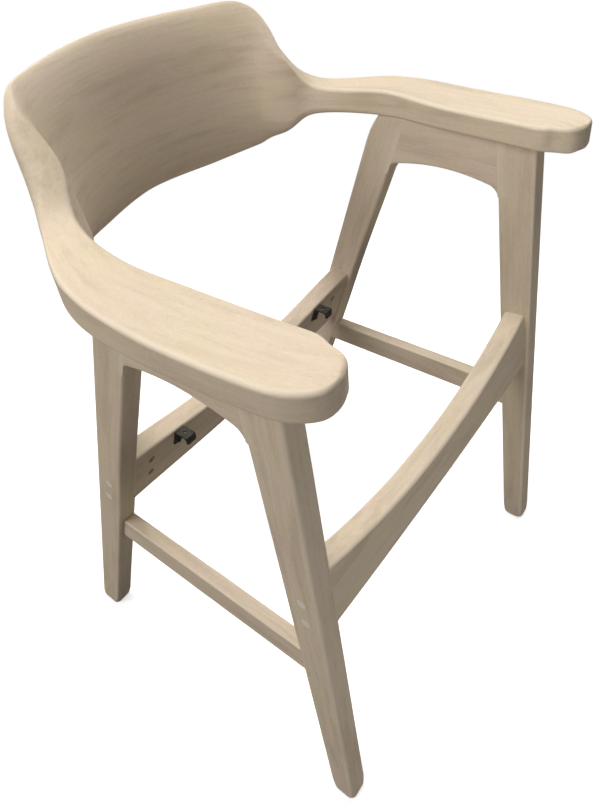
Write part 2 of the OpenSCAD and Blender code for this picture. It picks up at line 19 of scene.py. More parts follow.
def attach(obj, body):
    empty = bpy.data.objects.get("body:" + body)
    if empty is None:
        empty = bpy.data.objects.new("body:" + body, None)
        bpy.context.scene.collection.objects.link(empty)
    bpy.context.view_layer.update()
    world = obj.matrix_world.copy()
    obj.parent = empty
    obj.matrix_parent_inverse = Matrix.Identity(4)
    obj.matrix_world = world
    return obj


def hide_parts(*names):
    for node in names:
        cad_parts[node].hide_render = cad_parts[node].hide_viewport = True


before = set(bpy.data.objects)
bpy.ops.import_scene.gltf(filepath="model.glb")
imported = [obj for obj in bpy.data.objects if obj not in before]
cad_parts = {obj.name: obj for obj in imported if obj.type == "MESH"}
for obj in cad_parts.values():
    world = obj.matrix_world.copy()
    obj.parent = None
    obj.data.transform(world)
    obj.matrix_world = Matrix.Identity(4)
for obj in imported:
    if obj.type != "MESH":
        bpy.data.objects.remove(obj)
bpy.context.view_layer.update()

log = logging.getLogger("armchair")

MM = 0.001
BODY = "root"
SHIFT_Y = -10.277
WHITE = (1.0, 1.0, 1.0, 1.0)
Point = tuple[float, float, float]
Rgb = tuple[int, int, int]


# Shader maths


def linear(rgb: Rgb) -> tuple[float, float, float, float]:
    """Linear colour of one written as display values.

    Args:
        rgb: Red, green and blue from 0 to 255.

    Returns:
        The linear colour, with alpha.
    """
    out = []
    for value in rgb:
        share = value / 255
        out.append(share / 12.92 if share <= 0.04045 else ((share + 0.055) / 1.055) ** 2.4)
    return (out[0], out[1], out[2], 1.0)


class Graph:
    """Node tree of a material or of the world, with one method that makes any node."""

    def __init__(self, owner: bpy.types.Material | bpy.types.World) -> None:
        """Empties the owner's tree.

        Args:
            owner: Material or world to write.
        """
        owner.use_nodes = True
        self.tree = owner.node_tree
        self.tree.nodes.clear()

    def node(self, kind: str, settings: dict[str, object] | None = None,
             inputs: dict[str | int, object] | None = None, out: str | int = 0) -> "Socket":
        """Makes a node.

        Args:
            kind: Blender's name of the node type.
            settings: Attributes set first. "stops" is a ramp's list of (place, value or colour),
                and "ramp" its interpolation.
            inputs: Values or sockets of its inputs, by name or number.
            out: Output that is returned.

        Returns:
            The wrapped output socket.
        """
        made = self.tree.nodes.new(kind)
        for key, value in (settings or {}).items():
            if key == "stops":
                self._set_stops(made.color_ramp, value)
            elif key == "ramp":
                made.color_ramp.interpolation = value
            else:
                setattr(made, key, value)
        for key, value in (inputs or {}).items():
            socket = made.inputs[key]
            if isinstance(value, Socket):
                self.tree.links.new(value.socket, socket)
            else:
                socket.default_value = value
        return Socket(self, made.outputs[out]) if made.outputs else Socket(self, None)

    def mix(self, first: "Socket | tuple", second: "Socket | tuple", factor: "Socket | float") -> "Socket":
        """Mixes two colours.

        Args:
            first: Colour at factor 0.
            second: Colour at factor 1.
            factor: Share of the second colour.

        Returns:
            The mixed colour.
        """
        return self.node("ShaderNodeMix", {"data_type": "RGBA"}, {0: factor, 6: first, 7: second}, out=2)

    @staticmethod
    def _set_stops(ramp: bpy.types.ColorRamp, stops: Sequence[tuple[float, object]]) -> None:
        """Writes a ramp's stops.

        Args:
            ramp: Ramp to write.
            stops: Places with grey levels or linear colours.
        """
        while len(ramp.elements) > 1:
            ramp.elements.remove(ramp.elements[-1])
        for number, (place, value) in enumerate(stops):
            element = ramp.elements[0] if number == 0 else ramp.elements.new(place)
            element.position = place
            element.color = value if isinstance(value, tuple) else (value, value, value, 1.0)


class Socket:
    """Output of a node, with arithmetic that adds Math nodes."""

    def __init__(self, graph: Graph, socket: bpy.types.NodeSocket | None) -> None:
        """Wraps a socket of a graph."""
        self.graph = graph
        self.socket = socket

    def _math(self, operation: str, first: object, second: object) -> "Socket":
        """Adds one Math node on two values."""
        return self.graph.node("ShaderNodeMath", {"operation": operation}, {0: first, 1: second})

    def __add__(self, other: "Socket | float") -> "Socket":
        """Sum."""
        return self._math("ADD", self, other)

    __radd__ = __add__

    def __sub__(self, other: "Socket | float") -> "Socket":
        """Difference."""
        return self._math("SUBTRACT", self, other)

    def __rsub__(self, other: float) -> "Socket":
        """Reflected difference."""
        return self._math("SUBTRACT", other, self)

    def __mul__(self, other: "Socket | float") -> "Socket":
        """Product."""
        return self._math("MULTIPLY", self, other)

    __rmul__ = __mul__

    def __truediv__(self, other: "Socket | float") -> "Socket":
        """Quotient."""
        return self._math("DIVIDE", self, other)

    def other(self, name: str) -> "Socket":
        """Another output of the same node."""
        return Socket(self.graph, self.socket.node.outputs[name])

    def fraction(self) -> "Socket":
        """Part after the decimal point."""
        return self._math("FRACT", self, 0.0)

    def root(self) -> "Socket":
        """Square root."""
        return self._math("SQRT", self, 0.0)

    def ramp(self, *stops: tuple[float, object]) -> "Socket":
        """Smooth ramp over the value, through stops of (place, level or colour)."""
        return self.graph.node("ShaderNodeValToRGB", {"stops": stops, "ramp": "EASE"}, {0: self})

    def tint(self, rgb: Rgb, factor: "Socket | float") -> "Socket":
        """Mixes this colour with a share of another, written as eight-bit display values."""
        return self.graph.mix(self, linear(rgb), factor)

    def stretched(self, scale: Point) -> "Socket":
        """Vector multiplied part by part."""
        return self.graph.node("ShaderNodeVectorMath", {"operation": "MULTIPLY"}, {0: self, 1: scale})


# Finishes


class Finish(Enum):
    """Finishes of the chair and of the stage round it."""

    FRAME_WOOD = "limed_oak"
    PLUG_WOOD = "plug_end_grain"
    DOWEL_WOOD = "dowel_beech"
    BOLT_STEEL = "zinc_plated_steel"
    BRACKET_STEEL = "black_painted_steel"
    FLOOR = "studio_floor"


class Recipe:
    """Way to make a material. Each kind gives its own shader."""

    def shader(self, g: Graph) -> Socket:
        """Shader of the finish, written into the material's tree."""
        raise NotImplementedError

    def make(self, name: str) -> bpy.types.Material:
        """Builds the material.

        Args:
            name: Name of the material.

        Returns:
            The material.
        """
        material = bpy.data.materials.new(name)
        g = Graph(material)
        g.node("ShaderNodeOutputMaterial", {}, {"Surface": self.shader(g)})
        return material


@dataclass(frozen=True)
class WoodFinish(Recipe):
    """Limed, oiled oak: growth rings, fibres, pores, flecks and soft clouds of tone.

    The grain attribute gives each point in millimetres as (across, across, along the grain).
    """

    early: Rgb = (234, 218, 195)
    late: Rgb = (214, 195, 169)
    pore: Rgb = (172, 150, 123)
    warm: Rgb = (234, 210, 193)
    yellow: Rgb = (230, 214, 181)
    smoke: Rgb = (196, 177, 153)
    worn: Rgb = (243, 231, 211)
    ring_gap: float = 6.5
    ring_share: float = 0.22
    pore_share: float = 0.3
    fibre_share: float = 0.24
    rough: float = 0.58
    pith: tuple[float, float] = (34.0, 96.0)
    bump: float = 0.5

    def shader(self, g: Graph) -> Socket:
        """Shader of sawn wood over the grain coordinates.

        Args:
            g: Graph of the material.

        Returns:
            The shader.
        """
        grain = g.node("ShaderNodeAttribute", {"attribute_name": "grain"}, out="Vector")
        edge = g.node("ShaderNodeAttribute", {"attribute_name": "edge"}, out="Fac")
        tone = g.node("ShaderNodeAttribute", {"attribute_name": "tone"}, out="Fac")

        def noise(wide: float, long: float, detail: float = 2.0, rough: float = 0.5) -> Socket:
            """Noise over the grain coordinates, by its size in millimetres across and along."""
            return g.node("ShaderNodeTexNoise", {"noise_dimensions": "3D"},
                          {"Vector": grain.stretched((1 / wide, 1 / wide, 1 / long)), "Scale": 1.0,
                           "Detail": detail, "Roughness": rough})

        drift = noise(46, 330, 3.0)
        wobble = noise(9, 70)
        fibre = noise(0.9, 46, 3.0, 0.6)
        streak = noise(7.5, 170, 3.0, 0.6)
        band = noise(17, 120, 3.0, 0.6)
        pores = noise(0.42, 5.2, 1.0)
        cloud = noise(62, 115, 3.0, 0.55)
        blush = noise(38, 85)
        speck = noise(2.6, 4.4)

        across = g.node("ShaderNodeSeparateXYZ", inputs={0: grain}, out="X")
        away_x = across + self.pith[0]
        away_y = across.other("Y") + self.pith[1]
        radius = (away_x * away_x + away_y * away_y).root()
        ring = (radius / self.ring_gap + drift * 5.0 + wobble * 0.55).fraction()
        early = ring.ramp((0.0, 1.0), (0.3, 0.28), (0.82, 0.0), (1.0, 1.0))
        pore = pores.ramp((0.56, 0.0), (0.68, 1.0)) * (0.35 + 0.65 * early)

        base = g.mix(linear(self.early), linear(self.late), early * self.ring_share + 0.12)
        base = base.tint(self.late, streak.ramp((0.42, 0.0), (0.72, 1.0)) * 0.5)
        base = base.tint(self.warm, blush.ramp((0.44, 0.0), (0.66, 1.0)) * 0.6)
        base = base.tint(self.yellow, cloud.ramp((0.46, 0.0), (0.66, 1.0)) * 0.6)
        base = base.tint(self.smoke, band.ramp((0.46, 0.0), (0.7, 1.0)) * 0.5)
        base = base.tint(self.late, fibre.ramp((0.4, 0.0), (0.75, 1.0)) * self.fibre_share)
        base = base.tint(self.worn, speck.ramp((0.52, 0.0), (0.75, 1.0)) * 0.3)
        base = base.tint(self.late, tone)
        base = base.tint(self.pore, pore * self.pore_share)
        base = base.tint(self.worn, edge * (0.25 + 0.5 * cloud))

        rough = self.rough + 0.12 * pore - 0.08 * edge + 0.06 * (cloud - 0.5)
        height = fibre * 0.35 - pore * 0.8 - early * 0.16 + speck * 0.12
        normal = g.node("ShaderNodeBump", {},
                        {"Height": height, "Strength": self.bump, "Distance": 0.12 * MM})
        return g.node("ShaderNodeBsdfPrincipled", {},
                      {"Base Color": base, "Roughness": rough, "Normal": normal, "IOR": 1.46})


@dataclass(frozen=True)
class MetalFinish(Recipe):
    """Plated or painted steel: fine speckle, patches and rubbed edges."""

    body: Rgb
    dust: Rgb
    metallic: float
    rough: float
    speck_mm: float

    def shader(self, g: Graph) -> Socket:
        """Shader of speckled steel with patches and rubbed edges.

        Args:
            g: Graph of the material.

        Returns:
            The shader.
        """
        place = g.node("ShaderNodeTexCoord", out="Object").stretched((1 / MM, 1 / MM, 1 / MM))

        def noise(size: float, detail: float) -> Socket:
            """Noise of one size in millimetres."""
            return g.node("ShaderNodeTexNoise", {},
                          {"Vector": place, "Scale": 1 / size, "Detail": detail})

        speck = noise(self.speck_mm, 3.0)
        patch = noise(self.speck_mm * 9, 2.0)
        rubbed = g.node("ShaderNodeNewGeometry", out="Pointiness").ramp((0.52, 0.0), (0.6, 1.0))
        dusty = patch.ramp((0.4, 0.0), (0.7, 1.0)) * 0.5 + rubbed * 0.3
        base = g.mix(linear(self.body), linear(self.dust), dusty)
        base = base.tint(self.dust, speck.ramp((0.55, 0.0), (0.75, 1.0)) * 0.25)
        rough = self.rough + 0.2 * (speck - 0.5) + 0.1 * (patch - 0.5)
        normal = g.node("ShaderNodeBump", {},
                        {"Height": speck, "Strength": 0.3, "Distance": 0.05 * MM})
        return g.node("ShaderNodeBsdfPrincipled", {},
                      {"Base Color": base, "Roughness": rough, "Metallic": self.metallic,
                       "Normal": normal})


@dataclass(frozen=True)
class FloorFinish(Recipe):
    """Pale seamless floor that keeps the chair's shadow and fades to white away from it.

    The camera sees its own pale colour; light that bounces back to the chair comes off a
    greyer one, as in a studio whose sweep of paper is small.
    """

    seen: Rgb = (238, 237, 235)
    bounce: Rgb = (52, 50, 47)
    dust: Rgb = (228, 226, 224)
    glow: float = 0.62
    shadow_radius: float = 0.55
    fade: float = 0.9

    def shader(self, g: Graph) -> Socket:
        """Shader that keeps the shadow and fades to white.

        Args:
            g: Graph of the material.

        Returns:
            The shader.
        """
        place = g.node("ShaderNodeTexCoord", out="Object")
        grit = g.node("ShaderNodeTexNoise", {}, {"Vector": place, "Scale": 90.0, "Detail": 3.0})
        seen = g.node("ShaderNodeLightPath", out="Is Camera Ray")
        base = g.mix(linear(self.bounce), linear(self.seen), seen)
        base = base.tint(self.dust, grit * 0.2)
        lit = g.node("ShaderNodeBsdfPrincipled", {}, {"Base Color": base, "Roughness": 0.9})
        glow = g.node("ShaderNodeEmission", {}, {"Color": WHITE, "Strength": self.glow})
        near = g.node("ShaderNodeAddShader", {}, {0: lit, 1: glow})
        white = g.node("ShaderNodeEmission", {}, {"Color": WHITE, "Strength": 1.0})
        away = g.node("ShaderNodeVectorMath", {"operation": "LENGTH"}, {0: place}, out="Value")
        far = ((away - self.shadow_radius) / self.fade).ramp((0.0, 0.0), (1.0, 1.0))
        own = g.node("ShaderNodeMixShader", {}, {0: seen, 1: lit, 2: near})
        return g.node("ShaderNodeMixShader", {}, {0: far * seen, 1: own, 2: white})


@dataclass
class Finishes:
    """Materials of the chair, each made once."""

    recipes: dict[Finish, Recipe] = field(default_factory=lambda: {
        Finish.FRAME_WOOD: WoodFinish(),
        Finish.PLUG_WOOD: WoodFinish(
            early=(250, 241, 226), late=(240, 227, 206), warm=(248, 234, 220), yellow=(246, 236, 214),
            smoke=(232, 218, 198), ring_gap=1.6, ring_share=0.3, pith=(3.0, 9.0), pore_share=0.2,
        ),
        Finish.DOWEL_WOOD: WoodFinish(
            early=(224, 194, 150), late=(205, 170, 124), warm=(228, 190, 150),
            yellow=(222, 190, 140), ring_gap=2.0, pith=(4.0, 12.0),
        ),
        Finish.BOLT_STEEL: MetalFinish((196, 196, 200), (150, 148, 146), 1.0, 0.36, 0.8),
        Finish.BRACKET_STEEL: MetalFinish((30, 28, 24), (66, 61, 52), 0.0, 0.55, 0.7),
        Finish.FLOOR: FloorFinish(),
    })
    made: dict[Finish, bpy.types.Material] = field(default_factory=dict)

    def get(self, finish: Finish) -> bpy.types.Material:
        """Material of a finish, made when first asked for.

        Args:
            finish: The finish.

        Returns:
            Its material.
        """
        if finish not in self.made:
            self.made[finish] = self.recipes[finish].make(finish.value)
        return self.made[finish]

    def dress(self, piece: bpy.types.Object, finish: Finish) -> None:
        """Puts one finish on a whole piece.

        Args:
            piece: Object to dress.
            finish: Its finish.
        """
        piece.data.materials.clear()
        piece.data.materials.append(self.get(finish))

    def dress_node(self, node: str, finish: Finish) -> None:
        """Puts one finish on every material slot of a CAD node.

        Args:
            node: Name of the node.
            finish: Its finish.
        """
        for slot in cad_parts[node].material_slots:
            slot.material = self.get(finish)
        log.info("%s: kept from the drawing, dressed in %s", node, finish.value)


# Mesh making


def add_object(name: str, data: bpy.types.ID) -> bpy.types.Object:
    """Makes an object and links it into the scene.

    Args:
        name: Name of the object.
        data: Its mesh, lamp or camera.

    Returns:
        The object.
    """
    made = bpy.data.objects.new(name, data)
    bpy.context.scene.collection.objects.link(made)
    return made


def corner_arc(turn: int, steps: int) -> list[tuple[float, float]]:
    """Unit quarter circle from quarter turn to turn + 1, ends included."""
    return [
        (math.cos(math.pi / 2 * (turn + i / steps)), math.sin(math.pi / 2 * (turn + i / steps)))
        for i in range(steps + 1)
    ]


def rounded(w: float, h: float, r: float | Sequence[object], steps: int = 7,
            along_w: int = 1, along_h: int = 1) -> list[tuple[float, float, float]]:
    """Rounded rectangle, anticlockwise from its right side.

    Args:
        w: Width.
        h: Height.
        r: One radius, or one for each corner from the top right anticlockwise. A corner may
            have two, one across and one up.
        steps: Facets in each corner.
        along_w: Facets along the top and the bottom.
        along_h: Facets along the left and the right.

    Returns:
        Points as (x, y, edge), where edge is 1 in the middle of a corner and 0 on the flats.
    """
    radii = list(r) if isinstance(r, (list, tuple)) else [r] * 4
    out: list[tuple[float, float, float]] = []
    corners = []
    for c, q in enumerate(radii):
        qx, qy = q if isinstance(q, tuple) else (q, q)
        cx = (1 if c in (0, 3) else -1) * (w / 2 - qx)
        cy = (1 if c < 2 else -1) * (h / 2 - qy)
        corners.append([
            (cx + qx * a, cy + qy * b, math.sin(math.pi * i / steps) * min(1.0, 5.0 / max(qx, qy, 0.1)))
            for i, (a, b) in enumerate(corner_arc(c, steps))
        ])
    for c, arc in enumerate(corners):
        out += arc
        after = corners[(c + 1) % 4][0]
        last = arc[-1]
        count = along_w if c % 2 == 0 else along_h
        for i in range(1, count):
            f = i / count
            out.append((last[0] + (after[0] - last[0]) * f, last[1] + (after[1] - last[1]) * f, 0.0))
    return out


def round_drop(d: float, r: float) -> float:
    """Drop at distance d from the start of a rounding of radius r."""
    return 0.0 if d >= r else r - math.sqrt(max(0.0, r * r - (r - d) ** 2))


@dataclass
class Loft:
    """Closed skin through rings of points, with grain and edge values at each point."""

    rings: list[np.ndarray] = field(default_factory=list)
    grains: list[np.ndarray] = field(default_factory=list)
    edges: list[np.ndarray] = field(default_factory=list)

    def add(self, points: Sequence[Point], edge: Sequence[float],
            grain: Sequence[Point] | None = None) -> None:
        """Adds a ring.

        Args:
            points: Points in drawing millimetres.
            edge: Edge value of each point.
            grain: Grain coordinates of each point, in millimetres.
        """
        self.rings.append(np.array(points, float))
        self.edges.append(np.array(edge, float))
        self.grains.append(np.array(grain if grain is not None else points, float))

    def smooth_normals(self, mesh: bpy.types.Mesh, before: np.ndarray, after: np.ndarray,
                       passes: int = 0) -> None:
        """Gives the skin the normals of the surface that it was cut from.

        Args:
            mesh: Mesh of this loft.
            before: Ring just before the first one.
            after: Ring just after the last one.
            passes: Times that the normals are averaged along the skin, its end rings kept.
        """
        grid = np.array([before, *self.rings, after])
        along = grid[2:] - grid[:-2]
        round_it = np.roll(grid[1:-1], -1, 1) - np.roll(grid[1:-1], 1, 1)
        normals = np.cross(round_it, along)
        normals /= np.linalg.norm(normals, axis=2)[:, :, None] + 1e-12
        for _ in range(passes):
            normals[1:-1] = (normals[:-2] + 2 * normals[1:-1] + normals[2:]) / 4
        normals = normals.reshape(-1, 3)
        normals /= np.linalg.norm(normals, axis=1)[:, None] + 1e-12
        corners = np.zeros(len(mesh.loops), np.int32)
        mesh.loops.foreach_get("vertex_index", corners)
        out = normals[corners]
        for face in (mesh.polygons[0], mesh.polygons[-1]):
            out[list(face.loop_indices)] = np.array(face.normal)
        mesh.shade_smooth()
        mesh.normals_split_custom_set(out.tolist())

    def mesh(self, name: str) -> bpy.types.Mesh:
        """Writes the skin with flat end faces.

        Args:
            name: Name of the mesh.

        Returns:
            The mesh, in metres, with its grain and edge attributes.
        """
        m, n = len(self.rings), len(self.rings[0])
        faces: list[list[int]] = [list(range(n))[::-1]]
        for i in range(m - 1):
            for j in range(n):
                k = (j + 1) % n
                faces.append([i * n + j, i * n + k, (i + 1) * n + k, (i + 1) * n + j])
        faces.append([(m - 1) * n + j for j in range(n)])
        made = bpy.data.meshes.new(name)
        made.from_pydata((to_model(np.vstack(self.rings)) * MM).tolist(), [], faces)
        write_attributes(made, np.vstack(self.grains), np.concatenate(self.edges))
        made.validate()
        made.update()
        return made


def to_model(points: np.ndarray) -> np.ndarray:
    """Drawing millimetres as model millimetres."""
    return points + np.array([0.0, SHIFT_Y, 0.0])


def write_attributes(mesh: bpy.types.Mesh, grain: np.ndarray, edge: np.ndarray) -> None:
    """Writes grain coordinates and edge values to the points of a mesh.

    Args:
        mesh: Mesh to write.
        grain: Grain coordinates, one row for each point.
        edge: Edge values, one for each point.
    """
    for name, kind, values, key in (
        ("grain", "FLOAT_VECTOR", grain.astype(np.float32).ravel(), "vector"),
        ("edge", "FLOAT", np.clip(edge, 0, 1).astype(np.float32), "value"),
    ):
        layer = mesh.attributes.get(name) or mesh.attributes.new(name, kind, "POINT")
        layer.data.foreach_set(key, values)


def read_vectors(rows: bpy.types.bpy_prop_collection, key: str) -> np.ndarray:
    """Reads the vectors of a mesh's vertices or of one of its attributes.

    Args:
        rows: Vertices, or the data of an attribute.
        key: Name of the vector in each row.

    Returns:
        One row for each point.
    """
    values = np.zeros(len(rows) * 3, np.float32)
    rows.foreach_get(key, values)
    return values.reshape(-1, 3)


def points_of(mesh: bpy.types.Mesh) -> np.ndarray:
    """Points of a mesh in drawing millimetres."""
    return read_vectors(mesh.vertices, "co").astype(float) / MM - np.array([0.0, SHIFT_Y, 0.0])


@dataclass
class Workshop:
    """Puts finished meshes into the scene as pieces that ride on the frame.

    wood_range is how far a piece moves in the wood's grain coordinates, in millimetres, darkest its
    deepest tone, and sharp the angle in degrees above which an edge is shaded sharp.
    """

    finishes: Finishes
    seeds: np.random.Generator = field(default_factory=lambda: np.random.default_rng(41))
    wood_range: tuple[Point, Point] = ((-26, -38, 0), (26, 38, 4000))
    darkest: float = 0.22
    sharp: float = 32.0

    def piece(self, name: str, mesh: bpy.types.Mesh, finish: Finish, slot: str,
              nodes: Sequence[str]) -> None:
        """Makes a piece that replaces CAD nodes.

        Args:
            name: Name of the piece.
            mesh: Its mesh, in metres.
            finish: Its finish.
            slot: Name of a material slot; not used.
            nodes: CAD nodes that it stands for.
        """
        made = add_object(name, mesh)
        if not mesh.has_custom_normals:
            mesh.shade_smooth()
            mesh.set_sharp_from_angle(angle=math.radians(self.sharp))
            weigh = made.modifiers.new("weighted_normals", "WEIGHTED_NORMAL")
            weigh.keep_sharp = True
        self.vary(mesh)
        self.finishes.dress(made, finish)
        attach(made, BODY)
        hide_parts(*nodes)
        log.info("%s: %d faces, stands for %s", name, len(mesh.polygons), ", ".join(nodes))

    def oak(self, node: str, mesh: bpy.types.Mesh) -> None:
        """Makes a piece of the frame's wood that stands for the CAD node of its name.

        Args:
            node: CAD node that it stands for.
            mesh: Its mesh, in metres.
        """
        self.piece(f"oak_{node}", mesh, Finish.FRAME_WOOD, "frame_wood", [node])

    def oak_pair(self, word: str, left: bpy.types.Mesh) -> None:
        """Makes a piece of the left side and its mirror image.

        Args:
            word: Name of their CAD nodes, without the side.
            left: Mesh of the left one, in metres.
        """
        right = mirrored(left, f"{word}_right")
        self.oak(f"{word}_left", left)
        self.oak(f"{word}_right", right)

    def vary(self, mesh: bpy.types.Mesh) -> None:
        """Moves a piece to its own place in the wood and gives it its own tone.

        Args:
            mesh: Mesh whose attributes are changed.
        """
        rows = mesh.attributes["grain"].data
        grain = read_vectors(rows, "vector") + self.seeds.uniform(*self.wood_range)
        rows.foreach_set("vector", grain.astype(np.float32).ravel())
        tone = mesh.attributes.new("tone", "FLOAT", "POINT")
        value = self.seeds.uniform(0.0, self.darkest)
        tone.data.foreach_set("value", np.full(len(grain), value, np.float32))


def mirrored(mesh: bpy.types.Mesh, name: str) -> bpy.types.Mesh:
    """Copy of a mesh reflected to the other side of the chair.

    Args:
        mesh: Mesh of the left side.
        name: Name of the copy.

    Returns:
        The reflected mesh, its faces still turned outwards.
    """
    made = mesh.copy()
    made.name = name
    made.transform(Matrix.Scale(-1, 4, Vector((1, 0, 0))))
    made.flip_normals()
    return made


def cut(mesh: bpy.types.Mesh, cutters: Sequence[bpy.types.Mesh]) -> bpy.types.Mesh:
    """Cuts closed meshes out of a mesh.

    Args:
        mesh: Closed mesh.
        cutters: Closed meshes to take away.

    Returns:
        The cut mesh, without the first one's attributes.
    """
    body = add_object("cut_body", mesh)
    tools = []
    for number, cutter in enumerate(cutters):
        tool = add_object(f"cutter_{number}", cutter)
        step = body.modifiers.new(tool.name, "BOOLEAN")
        step.operation = "DIFFERENCE"
        step.solver = "EXACT"
        step.object = tool
        tools.append(tool)
    done = bpy.data.meshes.new_from_object(body.evaluated_get(bpy.context.evaluated_depsgraph_get()))
    for item in [body, *tools]:
        bpy.data.objects.remove(item)
    done.materials.clear()
    return done


def join(meshes: Sequence[bpy.types.Mesh], name: str) -> bpy.types.Mesh:
    """One mesh of several, with their grain and edge values.

    Args:
        meshes: Meshes to join.
        name: Name of the whole.

    Returns:
        The joined mesh.
    """
    verts: list[np.ndarray] = []
    faces: list[list[int]] = []
    grains, edges, start = [], [], 0
    for mesh in meshes:
        verts.append(read_vectors(mesh.vertices, "co"))
        faces += [[start + v for v in p.vertices] for p in mesh.polygons]
        start += len(mesh.vertices)
        edge = np.zeros(len(mesh.vertices), np.float32)
        mesh.attributes["edge"].data.foreach_get("value", edge)
        grains.append(read_vectors(mesh.attributes["grain"].data, "vector"))
        edges.append(edge)
    made = bpy.data.meshes.new(name)
    made.from_pydata(np.vstack(verts).tolist(), [], faces)
    write_attributes(made, np.vstack(grains), np.concatenate(edges))
    made.update()
    return made


OUTWARD = Matrix.Rotation(math.pi / 2, 4, "Y")


def round_bar(profile: Sequence[tuple[float, float]], start: Matrix, sides: int = 40) -> bpy.types.Mesh:
    """Turned solid.

    Args:
        profile: (radius, height) pairs from the bottom up, in drawing millimetres.
        start: Place of its axis, in drawing millimetres.
        sides: Facets round it.

    Returns:
        The closed mesh.
    """
    loft = Loft()
    for radius, height in profile:
        ring = []
        for i in range(sides):
            a = 2 * math.pi * i / sides
            ring.append(tuple(start @ Vector((radius * math.cos(a), radius * math.sin(a), height))))
        loft.add(ring, [0.0] * sides)
    return loft.mesh("round_bar")


# The chair


@dataclass(frozen=True)
class Plan:
    """Sizes that several sub-assemblies share."""

    clear_w: float = 471.0
    frame_t: float = 29.0
    arm_under: float = 652.0
    arm_pitch: float = math.radians(1.9)
    arm_t: float = 30.5
    bolt_gap: float = 30.0
    plug_d: float = 11.0
    plug_l: float = 4.5

    @property
    def inner_x(self) -> float:
        """Inner face of the left side frame."""
        return self.clear_w / 2

    @property
    def outer_x(self) -> float:
        """Outer face of the left side frame."""
        return self.clear_w / 2 + self.frame_t

    @property
    def side_x(self) -> float:
        """Middle plane of the left side frame."""
        return self.clear_w / 2 + self.frame_t / 2

    def under_z(self, y: float) -> float:
        """Height of the arms' underside at a depth."""
        return self.arm_under + math.tan(self.arm_pitch) * y


@dataclass(frozen=True)
class LegShape:
    """A leg in side view."""

    foot_y: float
    foot_w: float
    top_y: float
    top_w: float
    hollow: float
    rail_side: int
    rail_z: float
    shoulder: float = 0.0
    shoulder_h: float = 38.0
    hollow_low: float = 265.25
    hollow_high: float = 566.5
    plan: Plan = Plan()

    def mid(self, z: float) -> float:
        """Depth of the leg's middle at a height."""
        return self.foot_y + (self.top_y - self.foot_y) * z / self.plan.arm_under

    def hollow_at(self, z: float) -> float:
        """Hollow of the leg's front edge.

        Args:
            z: Height.

        Returns:
            Depth of the hollow at that height, 0 outside its stretch.
        """
        if z <= self.hollow_low or z >= self.hollow_high:
            return 0.0
        share = (z - self.hollow_low) / (self.hollow_high - self.hollow_low)
        return self.hollow * math.sin(math.pi * share) ** 2

    def half(self, z: float) -> float:
        """Half the leg's width at a height, its hollow not counted."""
        return (self.foot_w + (self.top_w - self.foot_w) * z / self.plan.arm_under) / 2

    def front(self, z: float) -> float:
        """Depth of the leg's front edge at a height."""
        return self.mid(z) - self.half(z) + self.hollow_at(z)

    def back(self, z: float) -> float:
        """Depth of the leg's back edge at a height, rounded off under the arm."""
        rise = max(0.0, 1 - (self.plan.arm_under - z) / self.shoulder_h)
        return self.mid(z) + self.half(z) - self.shoulder * rise ** 2

    @property
    def lean(self) -> float:
        """Lean of the leg's middle line, in radians."""
        return math.atan((self.foot_y - self.top_y) / self.plan.arm_under)

    def bolts(self) -> list[tuple[float, float]]:
        """(y, z) of the two bolts on the leg's middle line."""
        gap = self.plan.bolt_gap / 2
        return [
            (self.mid(self.rail_z) - v * math.sin(self.lean), self.rail_z + v * math.cos(self.lean))
            for v in (-gap, gap)
        ]


FRONT_LEG = LegShape(-233.0, 28.5, -175.0, 48.5, 0.0, 1, 357.5)
REAR_LEG = LegShape(203.0, 35.0, -6.0, 49.0, 1.5, -1, 334.5, shoulder=8.0)


